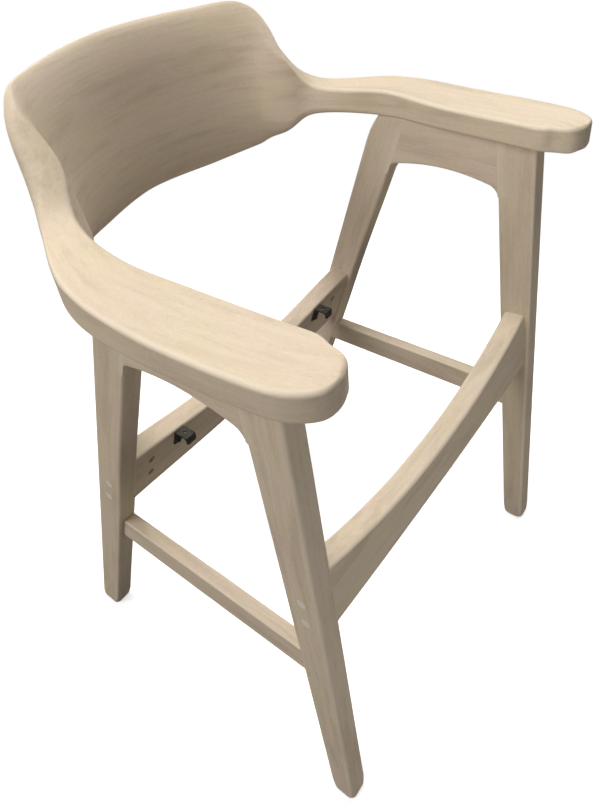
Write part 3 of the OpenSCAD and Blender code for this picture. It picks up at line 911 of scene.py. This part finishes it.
@dataclass
class Legs:
    """Four tapered legs with rounded feet and bores for their plugs."""

    shop: Workshop
    plan: Plan = Plan()
    edge_r: float = 4.0
    foot_r: float = 8.0
    foot_corner_r: float = 9.0
    flush_r: float = 0.3
    foot_angles: tuple[float, ...] = (0, 10, 20, 30, 40, 50, 60, 70, 80)
    foot_rises: tuple[float, ...] = (1.0, 1.3, 1.6, 2.0, 2.5)
    foot_wear: float = 9.0
    shank_rings: int = 12
    shaft_rings: int = 30
    head_shares: tuple[float, ...] = (0.0, 0.2, 0.4, 0.55, 0.7, 0.8, 0.9, 0.96)
    facets: tuple[int, int, int] = (6, 3, 3)
    least_flat: float = 0.5
    bore_deeper: float = 0.4
    bore_wider: float = 0.12
    bore_past: float = 3.0

    def ring(self, leg: LegShape, z: float, inset: float = 0.0,
             top: bool = False) -> tuple[list[Point], list[float]]:
        """Section of a leg.

        Args:
            leg: The leg.
            z: Height of the section.
            inset: Distance that it is drawn in by, all round.
            top: True for the sloping section under the arm.

        Returns:
            Its points and their edge values.
        """
        w = leg.back(z) - leg.front(z) - 2 * inset
        down = max(0.0, 1 - z / (self.foot_rises[-1] * self.foot_r))
        least = min(w, self.plan.frame_t - 2 * inset)
        r = min(self.edge_r + (self.foot_corner_r - self.edge_r) * down, least / 2 - self.least_flat)
        q = self.flush_r if z > leg.hollow_high else r
        radii = [q, q, r, r] if leg.rail_side > 0 else [r, r, q, q]
        points, edge = [], []
        for x, u, e in rounded(self.plan.frame_t - 2 * inset, w, radii, *self.facets):
            h = self.plan.under_z(leg.top_y + u) if top else z
            y = (leg.front(h) + leg.back(h)) / 2 + u
            points.append((self.plan.side_x + x, y, self.plan.under_z(y) if top else z))
            edge.append(e)
        return points, edge

    def blank(self, leg: LegShape) -> Loft:
        """Skin of a leg, before its bores.

        Args:
            leg: The leg.

        Returns:
            Its loft.
        """
        loft = Loft()
        for angle in self.foot_angles:
            a = math.radians(angle)
            loft.add(*self.ring(leg, self.foot_r * (1 - math.cos(a)), self.foot_r * (1 - math.sin(a))))
        for rise in self.foot_rises:
            loft.add(*self.ring(leg, rise * self.foot_r))
        low, high, ankle = leg.hollow_low, leg.hollow_high, self.foot_rises[-1] * self.foot_r
        for i in range(1, self.shank_rings):
            loft.add(*self.ring(leg, ankle + (low - ankle) * i / self.shank_rings))
        for i in range(self.shaft_rings + 1):
            loft.add(*self.ring(leg, low + (high - low) * i / self.shaft_rings))
        top = self.plan.under_z(leg.mid(self.plan.under_z(leg.top_y)))
        for share in self.head_shares:
            loft.add(*self.ring(leg, high + self.edge_r + (top - high - self.edge_r) * share))
        loft.add(*self.ring(leg, top, 0.0, True))
        return loft

    def mesh(self, leg: LegShape, name: str) -> bpy.types.Mesh:
        """Mesh of a left leg, with two plug bores in its outer face.

        Args:
            leg: The leg.
            name: Name of the mesh.

        Returns:
            The mesh with its attributes.
        """
        depth = self.plan.plug_l + self.bore_deeper
        radius = self.plan.plug_d / 2 + self.bore_wider
        profile = [(radius, 0.0), (radius, depth + self.bore_past)]
        bores = [
            round_bar(profile, Matrix.Translation((self.plan.outer_x - depth, y, z)) @ OUTWARD)
            for y, z in leg.bolts()
        ]
        made = cut(self.blank(leg).mesh(name), bores)
        made.name = name
        co = points_of(made)
        c, s = math.cos(leg.lean), math.sin(leg.lean)
        y = co[:, 1] - leg.foot_y
        x = co[:, 0] - self.plan.side_x
        grain = np.stack([x, c * y + s * co[:, 2], -s * y + c * co[:, 2]], 1)
        half = np.array([leg.half(z) for z in co[:, 2]])
        mid = np.array([leg.mid(z) for z in co[:, 2]])
        side = np.clip((np.abs(x) - self.plan.frame_t / 2 + self.edge_r) / self.edge_r, 0, 1)
        face = np.clip((np.abs(co[:, 1] - mid) - half + self.edge_r) / self.edge_r, 0, 1)
        foot = np.clip(1 - co[:, 2] / self.foot_wear, 0, 1)
        write_attributes(made, grain, np.maximum(np.sqrt(side * face), foot * np.maximum(side, face)))
        return made

    def build(self) -> None:
        """Builds and dresses the four legs."""
        for leg, word in ((FRONT_LEG, "front_leg"), (REAR_LEG, "rear_leg")):
            self.shop.oak_pair(word, self.mesh(leg, f"{word}_left"))


@dataclass
class SideRails:
    """Arched rails under the arms, and the thin stretchers below."""

    shop: Workshop
    plan: Plan = Plan()
    arch_z: float = 591.5
    arch_y: float = -74.0
    arch_fall: float = 14.0
    arch_fillet: float = 11.0
    arch_rear_fillet: float = 5.0
    edge_r: float = 4.0
    flush_r: float = 0.3
    stretcher_z: float = 247.0
    stretcher_h: float = 36.5
    stretcher_t: float = 18.0
    stretcher_in: float = 2.0
    stretcher_r: float = 2.5
    fillet_step: int = 9
    crown_rings: int = 40
    arch_facets: tuple[int, int, int] = (6, 5, 3)
    stretcher_rings: int = 24
    stretcher_facets: tuple[int, int, int] = (6, 3, 2)
    grain_z: float = 620.0

    @staticmethod
    def between(share: float, z: float) -> float:
        """Depth of a point from the front leg (0) to the rear leg (1) at a height."""
        return FRONT_LEG.back(z) * (1 - share) + REAR_LEG.front(z) * share

    def arch_mesh(self, name: str) -> bpy.types.Mesh:
        """Mesh of the left arm rail.

        Args:
            name: Name of the mesh.

        Returns:
            The mesh with its attributes.
        """
        start = FRONT_LEG.back(self.arch_z)
        span = REAR_LEG.front(self.arch_z) - start
        crown = (self.arch_y - start) / span
        fillet, rear = self.arch_fillet / span, self.arch_rear_fillet / span
        ease = [1 - math.cos(math.radians(a)) for a in range(0, 90, self.fillet_step)]
        shares = [fillet * e for e in ease]
        for i in range(self.crown_rings + 1):
            shares.append(fillet + (1 - fillet - rear) * i / self.crown_rings)
        shares += [1 - rear * e for e in reversed(ease)]
        loft = Loft()
        for s in shares:
            low = (self.arch_z - self.arch_fall * ((s - crown) / crown) ** 2
                   - round_drop(s * span, self.arch_fillet)
                   - round_drop((1 - s) * span, self.arch_rear_fillet))
            near = self.between(s, self.plan.arm_under)
            high = self.plan.under_z(self.between(s, self.plan.under_z(near)))
            radii = [self.flush_r, self.edge_r, self.edge_r, self.flush_r]
            points, edge, grain = [], [], []
            for u, x, e in rounded(high - low, self.plan.frame_t, radii, *self.arch_facets):
                z = (high + low) / 2 + u
                y = self.between(s, z)
                points.append((self.plan.side_x + x, y, z))
                edge.append(e * (u < 0))
                grain.append((x, z - self.grain_z, y))
            loft.add(points, edge, grain)
        return loft.mesh(name)

    def stretcher_mesh(self, name: str) -> bpy.types.Mesh:
        """Mesh of the left stretcher, between the faces of its legs.

        Args:
            name: Name of the mesh.

        Returns:
            The mesh with its attributes.
        """
        loft = Loft()
        for i in range(self.stretcher_rings + 1):
            points, edge, grain = [], [], []
            for u, x, e in rounded(self.stretcher_h, self.stretcher_t, self.stretcher_r,
                                   *self.stretcher_facets):
                z = self.stretcher_z + u
                y = self.between(i / self.stretcher_rings, z)
                points.append((self.plan.side_x - self.stretcher_in + x, y, z))
                edge.append(e)
                grain.append((x, u, y))
            loft.add(points, edge, grain)
        return loft.mesh(name)

    def build(self) -> None:
        """Builds and dresses both arm rails and both stretchers."""
        for word, maker in (("arm_rail", self.arch_mesh), ("stretcher", self.stretcher_mesh)):
            self.shop.oak_pair(word, maker(f"{word}_left"))


@dataclass(frozen=True)
class RailShape:
    """A seat rail seen from the front."""

    height: float
    scoop: float
    belly: float
    power: float
    plan: Plan = Plan()

    def bell(self, x: np.ndarray) -> np.ndarray:
        """Share of the scoop at places across the chair."""
        return np.maximum(0.0, 1 - (x / self.plan.inner_x) ** 2) ** self.power

    def high(self, x: np.ndarray) -> np.ndarray:
        """Upper edge above the middle of the rail's ends."""
        return self.height / 2 - self.scoop * self.bell(x)

    def low(self, x: np.ndarray) -> np.ndarray:
        """Lower edge, counted from the middle of the rail's ends."""
        return -self.height / 2 - self.belly * self.bell(x)


FRONT_RAIL = RailShape(86.0, 38.0, 5.0, 1.0)
REAR_RAIL = RailShape(98.0, 34.0, 14.0, 1.5)


@dataclass
class SeatRails:
    """Front and rear seat rails: scooped, leaned with their legs, bored for barrel nuts."""

    shop: Workshop
    plan: Plan = Plan()
    thickness: float = 27.0
    edge_r: float = 4.0
    nut_in: float = 32.0
    nut_bore_r: float = 5.15
    nut_bore_from: float = -9.0
    nut_bore_to: float = 30.0
    nut_bore_sides: int = 48
    rings: int = 60
    facets: tuple[int, int, int] = (7, 3, 6)

    def frame_of(self, leg: LegShape) -> Matrix:
        """Place of a rail's own axes in the drawing."""
        return Matrix.Translation((0, leg.mid(leg.rail_z), leg.rail_z)) @ Matrix.Rotation(leg.lean, 4, "X")

    def mesh(self, leg: LegShape, rail: RailShape, face: int, name: str) -> bpy.types.Mesh:
        """Mesh of a rail.

        Args:
            leg: Leg that it is leaned with.
            rail: Its own shape.
            face: Side that the nuts' bores open to, 1 for the rear and -1 for the front.
            name: Name of the mesh.

        Returns:
            The mesh with its attributes.
        """
        place = self.frame_of(leg)
        r = self.edge_r
        loft = Loft()
        for i in range(self.rings + 1):
            x = self.plan.clear_w * (i / self.rings - 0.5)
            high, low = float(rail.high(x)), float(rail.low(x))
            points, edge = [], []
            for u, v, e in rounded(self.thickness, high - low, r, *self.facets):
                points.append(tuple(place @ Vector((x, u, (high + low) / 2 + v))))
                edge.append(e)
            loft.add(points, edge)
        bores = []
        profile = [(self.nut_bore_r, self.nut_bore_from), (self.nut_bore_r, self.nut_bore_to)]
        across, up = self.plan.inner_x - self.nut_in, self.plan.bolt_gap / 2
        for x in (-across, across):
            for v in (-up, up):
                at = place @ Matrix.Translation((x, 0, v)) @ Matrix.Rotation(-math.pi / 2 * face, 4, "X")
                bores.append(round_bar(profile, at, self.nut_bore_sides))
        made = cut(loft.mesh(name), bores)
        made.name = name
        co = points_of(made)
        back = np.array(place.inverted())
        own = co @ back[:3, :3].T + back[:3, 3]
        grain = np.stack([own[:, 1], own[:, 2], own[:, 0]], 1)
        high, low = rail.high(own[:, 0]), rail.low(own[:, 0])
        thick = np.clip((np.abs(own[:, 1]) - self.thickness / 2 + r) / r, 0, 1)
        tall = np.clip(np.maximum(own[:, 2] - high, low - own[:, 2]) / r + 1, 0, 1)
        write_attributes(made, grain, np.sqrt(thick * tall))
        return made

    def build(self) -> None:
        """Builds and dresses both rails."""
        for leg, rail, face, name in (
            (FRONT_LEG, FRONT_RAIL, 1, "front_seat_rail"),
            (REAR_LEG, REAR_RAIL, -1, "rear_seat_rail"),
        ):
            self.shop.oak(name, self.mesh(leg, rail, face, name))


@dataclass
class Horseshoe:
    """Sculpted crest rail that flows into the two paddle arms."""

    shop: Workshop
    plan: Plan = Plan()
    crest_top: float = 807.5
    crest_h: float = 205.0
    crest_t: float = 27.5
    crest_lean: float = 36.5
    crest_y: float = 239.4
    crest_bow: float = 66.5
    shoulder_z: float = 739.3
    shoulder_t: float = 43.3
    neck_w: float = 39.9
    neck_bow: float = 2.113
    arm_rear_w: float = 62.5
    arm_w: float = 77.0
    arm_front_w: float = 75.0
    arm_tip_w: float = 62.5
    arm_tip_y: float = -246.45
    arm_tip_l: float = 45.0
    edge_r: float = 5.0
    least_r: float = 0.3
    joint_t: float = 3.5
    rear_t: float = 5.0
    tip_end: float = 0.1
    tip_power: float = 2.4
    tip_share_t: float = 0.8
    tip_rings: int = 18
    grain_z: float = 700.0
    per_station: int = 16
    facets: tuple[int, int, int] = (9, 6, 8)
    way_step: float = 0.01
    end_step: float = 0.02
    soft_passes: int = 110
    back_round: tuple[float, ...] = (2.1, 2.4, 2.9, 13, 2.9, 17, 2, 2.4)
    corner_round: tuple[float, ...] = (3.5, 5.5, 1.8, 8, 2.7, 13, 2, 2.4)
    shoulder_round: tuple[float, ...] = (5.9, 7.7, 1.2, 1.6, 2.4, 4.4, 2, 2.4)
    neck_round: tuple[float, ...] = (1.4, 2.9, 1.2, 1.2, 2.2, 2.4, 1.6, 1.6)
    arm_round: tuple[float, ...] = (1, 1, 1, 1, 1, 1, 1, 1)

    def __post_init__(self) -> None:
        """Lists the stations from the middle of the back to the tip of the left arm."""
        foot, tall = self.crest_top - self.crest_h, self.crest_h
        top_y, front_y = REAR_LEG.top_y, FRONT_LEG.top_y
        neck_y = self.crest_y - self.crest_bow * self.neck_bow
        top, t = self.crest_top, self.crest_t
        self.rows = np.array([
            self.back(0, 0, t, top, foot - 0.009 * tall, 1, self.back_round),
            self.back(0.467, 0.383, t, top - 0.017 * tall, foot - 0.012 * tall, 1, self.back_round),
            self.back(0.709, 0.994, 0.963 * t, top - 0.046 * tall, foot + 0.044 * tall, 0.917,
                      self.corner_round),
            self.back(0.785, 1.527, self.shoulder_t, self.shoulder_z, foot + 0.126 * tall, 0.45,
                      self.shoulder_round),
            self.back(0.889, self.neck_bow, self.neck_w, self.arm_z(neck_y, 1.187),
                      self.arm_z(neck_y, -0.134), 0.238, self.neck_round),
            self.arm(1.049, top_y + 0.18 * REAR_LEG.top_w, self.arm_rear_w, 1.148),
            self.arm(1.0529, (top_y + front_y) / 2, self.arm_w, 1),
            self.arm(1.015, front_y - 0.625 * FRONT_LEG.top_w, self.arm_front_w, 1),
            self.arm(0.958, self.arm_tip_y, self.arm_tip_w, 1),
        ], float)
        self.tip_t = len(self.rows) - 1

    def arm_z(self, y: float, share: float) -> float:
        """Height at a depth, as a share of the arm's thickness above its underside."""
        return self.plan.under_z(y) + share * self.plan.arm_t

    def back(self, x: float, bow: float, w: float, top: float, bottom: float, lean: float,
             corners: Sequence[float]) -> list[float]:
        """Station of the back: shares across, of the bow and of the lean, then roundings."""
        return [self.plan.side_x * x, self.crest_y - self.crest_bow * bow, w, top, bottom,
                self.crest_lean * lean, *(self.edge_r * q for q in corners)]

    def arm(self, x: float, y: float, w: float, share: float) -> list[float]:
        """Station of an arm, which stands on the plane of the arms' underside."""
        return [self.plan.side_x * x, y, w, self.arm_z(y, share), self.plan.under_z(y), 0.0,
                *(self.edge_r * q for q in self.arm_round)]

    def row(self, i: int) -> np.ndarray:
        """Station, mirrored before the first and carried on after the last.

        Args:
            i: Its number.

        Returns:
            Its values.
        """
        if i < 0:
            out = self.rows[-i].copy()
            out[0] *= -1
            return out
        if i > self.tip_t:
            return 2 * self.rows[self.tip_t] - self.rows[self.tip_t - 1]
        return self.rows[i]

    def station(self, t: float) -> np.ndarray:
        """Smooth curve through the stations.

        Args:
            t: Place along them, negative on the right side.

        Returns:
            Middle across, middle in depth, thickness, top, bottom, lean and eight roundings.
        """
        i = min(math.floor(abs(t)), self.tip_t - 1)
        f = abs(t) - i
        a, b, c, d = (self.row(k) for k in (i - 1, i, i + 1, i + 2))
        s = b + ((c - a) * f + (2 * a - 5 * b + 4 * c - d) * f * f + (3 * b - a - 3 * c + d) * f ** 3) / 2
        s[0] *= -1 if t < 0 else (0 if t == 0 else 1)
        if abs(t) >= self.rear_t:
            s[4] = self.plan.under_z(s[1])
        return s

    def tip_share(self, d: float) -> float:
        """Share of the full width near the tip.

        Args:
            d: Distance behind the tip.

        Returns:
            The share, 1 from the length of the tip on.
        """
        if d >= self.arm_tip_l:
            return 1.0
        near = (self.arm_tip_l - d) / (self.arm_tip_l + self.tip_end)
        return (1 - near ** self.tip_power) ** (1 / self.tip_power)

    def ring(self, t: float, run: float) -> tuple[list[Point], list[float], list[Point]]:
        """Section at t, upright and square to its path in plan.

        Args:
            t: Place along the stations.
            run: Distance along the path, in millimetres.

        Returns:
            Points, edge values and grain coordinates.
        """
        s = self.station(t)
        ahead = self.station(min(t + self.way_step, self.tip_t))[:2]
        way = ahead - self.station(t - self.way_step)[:2]
        way = way / np.linalg.norm(way)
        d = s[1] - self.arm_tip_y if t > self.rear_t else self.arm_tip_l
        w = s[2] * self.tip_share(d)
        drop = round_drop(d, self.edge_r)
        h = s[3] - s[4]
        q = np.maximum(self.least_r, s[6:14] - drop).reshape(4, 2)
        fit = min(1.0, (w - self.least_r) / max(q[0, 0] + q[1, 0], q[2, 0] + q[3, 0]))
        corners = [(fit * a, b) for a, b in q]
        tilt = math.tan(self.plan.arm_pitch) * max(0.0, min(1.0, abs(t) - self.rear_t + 1))
        points, edge, grain = [], [], []
        for p, v, e in rounded(w, h - 2 * drop, corners, *self.facets):
            u = p + s[5] * v / h
            z = (s[3] + s[4]) / 2 + v
            points.append((s[0] - way[1] * u, s[1] + way[0] * u, z + tilt * way[0] * u))
            edge.append(e)
            grain.append((u, z - self.grain_z, run))
        return points, edge, grain

    def path(self, places: Sequence[float]) -> list[float]:
        """Distances in plan along the path.

        Args:
            places: Places along the stations.

        Returns:
            The distance at each place.
        """
        out, run, last = [], 0.0, None
        for t in places:
            here = self.station(t)[:2]
            if last is not None:
                run += float(np.linalg.norm(here - last))
            out.append(run)
            last = here
        return out

    def skin(self, places: Sequence[float], name: str, side: int = 1, passes: int = 0) -> bpy.types.Mesh:
        """Mesh through the sections at some places.

        Args:
            places: Places along the stations, in order.
            name: Name of the mesh.
            side: 1 as drawn, -1 for the mirror image.
            passes: Times that its shading is averaged along the path.

        Returns:
            The mesh with its attributes and its own smooth normals.
        """
        loft = Loft()
        flip = np.array([side, 1, 1])
        for t, run in zip(places, self.path(places)):
            points, edge, grain = self.ring(t, run)
            loft.add(np.array(points)[::side] * flip, edge[::side], np.array(grain)[::side] * flip)
        mesh = loft.mesh(name)
        before = np.array(self.ring(places[0] - self.end_step, 0.0)[0])[::side] * flip
        after = np.array(self.ring(min(places[-1] + self.end_step, self.tip_t), 0.0)[0])[::side] * flip
        first, last = loft.rings[0], loft.rings[-1]
        pull = np.linalg.norm(loft.rings[1] - first) / (np.linalg.norm(first - before) + 1e-9)
        push = np.linalg.norm(last - loft.rings[-2]) / (np.linalg.norm(after - last) + 1e-9)
        loft.smooth_normals(mesh, first + (before - first) * pull,
                            last + (after - last) * push if places[-1] < self.tip_t else last, passes)
        return mesh

    def build(self) -> None:
        """Builds and dresses the crest rail and both arms."""
        n = round(self.joint_t * self.per_station)
        crest = [i / self.per_station for i in range(-n, n + 1)]
        self.shop.oak("crest_rail", self.skin(crest, "crest_rail", passes=self.soft_passes))
        start = self.tip_t - self.tip_share_t
        count = round((start - self.joint_t) * self.per_station)
        arm = [self.joint_t + (start - self.joint_t) * i / count for i in range(count + 1)]
        for i in range(1, self.tip_rings + 1):
            arm.append(start + (self.tip_t - start) * math.sin(math.pi / 2 * i / self.tip_rings))
        for side, name in ((1, "arm_left"), (-1, "arm_right")):
            self.shop.oak(name, self.skin(arm, name, side))


@dataclass
class Plugs:
    """Pale end-grain plugs over the bolt heads, in pairs on the legs' outer faces."""

    shop: Workshop
    plan: Plan = Plan()
    ease: float = 0.4
    ease_angles: tuple[float, ...] = (30, 60, 90)
    face_shares: tuple[float, ...] = (0.6, 0.2)

    def build(self) -> None:
        """Builds and dresses the plugs, one piece for each pair of legs."""
        for leg, word in ((FRONT_LEG, "front"), (REAR_LEG, "rear")):
            radius = self.plan.plug_d / 2
            profile = [(radius, 0.0), (radius, self.plan.plug_l - self.ease)]
            for angle in self.ease_angles:
                turn = math.radians(angle)
                profile.append((radius - self.ease * (1 - math.cos(turn)),
                                self.plan.plug_l - self.ease * (1 - math.sin(turn))))
            profile += [(radius * share, self.plan.plug_l) for share in self.face_shares]
            meshes = []
            for y, z in leg.bolts():
                place = Matrix.Translation((self.plan.outer_x - self.plan.plug_l, y, z))
                left = round_bar(profile, place @ OUTWARD)
                co = points_of(left)
                grain = np.stack([co[:, 1] - y, co[:, 2] - z, co[:, 0]], 1)
                write_attributes(left, grain, np.zeros(len(co)))
                meshes += [left, mirrored(left, "plug")]
            name = f"{word}_leg_plugs"
            self.shop.piece(f"oak_{name}", join(meshes, name), Finish.PLUG_WOOD, "plug_wood", [name])


@dataclass
class Hardware:
    """Steel and dowels that keep the drawing's shapes."""

    finishes: Finishes
    steel: tuple[str, ...] = (
        "front_rail_bolts", "rear_rail_bolts", "front_barrel_nuts", "rear_barrel_nuts",
    )
    painted: tuple[str, ...] = ("seat_bracket_left", "seat_bracket_right", "bracket_screws")
    dowels: tuple[str, ...] = ("crest_dowels", "arm_dowels", "arm_rail_dowels")

    def build(self) -> None:
        """Dresses the drawing's own nodes."""
        for nodes, finish in (
            (self.steel, Finish.BOLT_STEEL),
            (self.painted, Finish.BRACKET_STEEL),
            (self.dowels, Finish.DOWEL_WOOD),
        ):
            for node in nodes:
                self.finishes.dress_node(node, finish)


# Stage, lamps and camera


@dataclass(frozen=True)
class Lamp:
    """A soft square lamp: power in watts, width in metres and where it hangs."""

    name: str
    power: float
    width: float
    place: Point


@dataclass
class Studio:
    """Floor, white surround, soft lamps and the camera.

    Lamps and their aim are in metres. The camera's eye is in drawing millimetres, its turn is azimuth,
    elevation and roll in degrees, and its lens and middle are in pixels of the photograph.
    """

    finishes: Finishes
    floor_half: float = 6.0
    floor_cells: int = 24
    surround: float = 0.015
    mirrored_level: float = 0.12
    warm_white: Point = (1.0, 0.985, 0.96)
    aim: Point = (0.0, 0.0, 0.45)
    eye: Point = (-556.13, -463.308, 1007.21)
    turn: Point = (-44.709, 33.258, -8.458)
    focal_px: float = 704.776
    middle_px: tuple[float, float] = (229.842, 282.587)
    photo_px: tuple[int, int] = (597, 803)
    sensor: float = 36.0
    sees_to: float = 50.0
    lamps: tuple[Lamp, ...] = (
        Lamp("high_lamp", 70.0, 0.8, (0.0, 0.3, 4.2)),
        Lamp("near_side_lamp", 116.0, 3.0, (-3.6, 1.2, 3.0)),
        Lamp("front_corner_lamp", 9.0, 2.2, (-3.2, -2.4, 2.6)),
        Lamp("far_high_lamp", 34.0, 2.4, (1.9, 0.0, 4.0)),
        Lamp("far_side_lamp", 42.0, 2.2, (4.0, 0.0, 2.4)),
        Lamp("rear_lamp", 45.0, 2.6, (0.6, 4.4, 2.2)),
        Lamp("low_front_lamp", 1.8, 0.5, (-0.1, -1.0, 0.22)),
    )

    def floor(self) -> None:
        """Lays the floor."""
        half, count = self.floor_half, self.floor_cells
        points, faces = [], []
        for i in range(count + 1):
            for j in range(count + 1):
                points.append((half * (2 * i / count - 1), half * (2 * j / count - 1), 0.0))
        for i in range(count):
            for j in range(count):
                a = i * (count + 1) + j
                faces.append([a, a + count + 1, a + count + 2, a + 1])
        mesh = bpy.data.meshes.new("floor")
        mesh.from_pydata(points, [], faces)
        floor = add_object("floor", mesh)
        self.finishes.dress(floor, Finish.FLOOR)

    def world(self) -> None:
        """Shows white to the camera and a dim warm room to the chair's wood and steel."""
        world = bpy.data.worlds.new("white_surround")
        bpy.context.scene.world = world
        g = Graph(world)
        rays = g.node("ShaderNodeLightPath", out="Is Camera Ray")
        through = rays.other("Is Transmission Ray")
        seen = g.node("ShaderNodeMath", {"operation": "MAXIMUM"}, {0: rays, 1: through})
        tinted = (*self.warm_white, 1.0)
        soft = g.node("ShaderNodeBackground", {}, {"Color": tinted, "Strength": self.surround})
        grey = g.node("ShaderNodeBackground", {}, {"Color": tinted, "Strength": self.mirrored_level})
        white = g.node("ShaderNodeBackground", {}, {"Color": WHITE, "Strength": 1.0})
        around = g.node("ShaderNodeMixShader", {}, {0: rays.other("Is Glossy Ray"), 1: soft, 2: grey})
        mixed = g.node("ShaderNodeMixShader", {}, {0: seen, 1: around, 2: white})
        g.node("ShaderNodeOutputWorld", {}, {"Surface": mixed})

    def hang(self, lamp: Lamp) -> None:
        """Hangs a lamp that faces the chair and that the camera doesn't see.

        Args:
            lamp: Lamp to hang.
        """
        data = bpy.data.lights.new(lamp.name, "AREA")
        data.shape = "RECTANGLE"
        data.size = data.size_y = lamp.width
        data.energy = lamp.power
        data.color = self.warm_white
        hung = add_object(lamp.name, data)
        hung.location = lamp.place
        hung.visible_camera = False
        way = Vector(self.aim) - Vector(lamp.place)
        hung.rotation_euler = way.to_track_quat("-Z", "Y").to_euler()

    def camera(self) -> None:
        """Sets the camera that the photograph was taken with."""
        azimuth, elevation, roll = (math.radians(a) for a in self.turn)
        wide, high = self.photo_px
        level = math.cos(elevation)
        back = Vector((math.sin(azimuth) * level, -math.cos(azimuth) * level, math.sin(elevation)))
        right = Vector((0, 0, 1)).cross(back).normalized()
        up = back.cross(right)
        across = right * math.cos(roll) + up * math.sin(roll)
        above = -right * math.sin(roll) + up * math.cos(roll)
        data = bpy.data.cameras.new("photo_camera")
        data.sensor_width = self.sensor
        data.lens = self.focal_px * self.sensor / high
        data.shift_x = (wide / 2 - self.middle_px[0]) / high
        data.shift_y = (self.middle_px[1] - high / 2) / high
        data.clip_end = self.sees_to
        camera = add_object("photo_camera", data)
        axes = Matrix((across, above, back)).transposed().to_4x4()
        eye = Vector(to_model(np.array(self.eye)).tolist()) * MM
        camera.matrix_world = Matrix.Translation(eye) @ axes
        bpy.context.scene.camera = camera

    def build(self) -> None:
        """Builds the studio."""
        self.camera()
        self.floor()
        self.world()
        for lamp in self.lamps:
            self.hang(lamp)
        bpy.context.scene.view_settings.view_transform = "Standard"


def main() -> None:
    """Builds the chair and its studio."""
    logging.basicConfig(level=logging.INFO, format="%(name)s: %(message)s")
    finishes = Finishes()
    shop = Workshop(finishes)
    Studio(finishes).build()
    wooden = (Horseshoe(shop), Legs(shop), SideRails(shop), SeatRails(shop), Plugs(shop))
    for part in (*wooden, Hardware(finishes)):
        log.info("building %s", type(part).__name__)
        part.build()


if __name__ == "__main__":
    main()
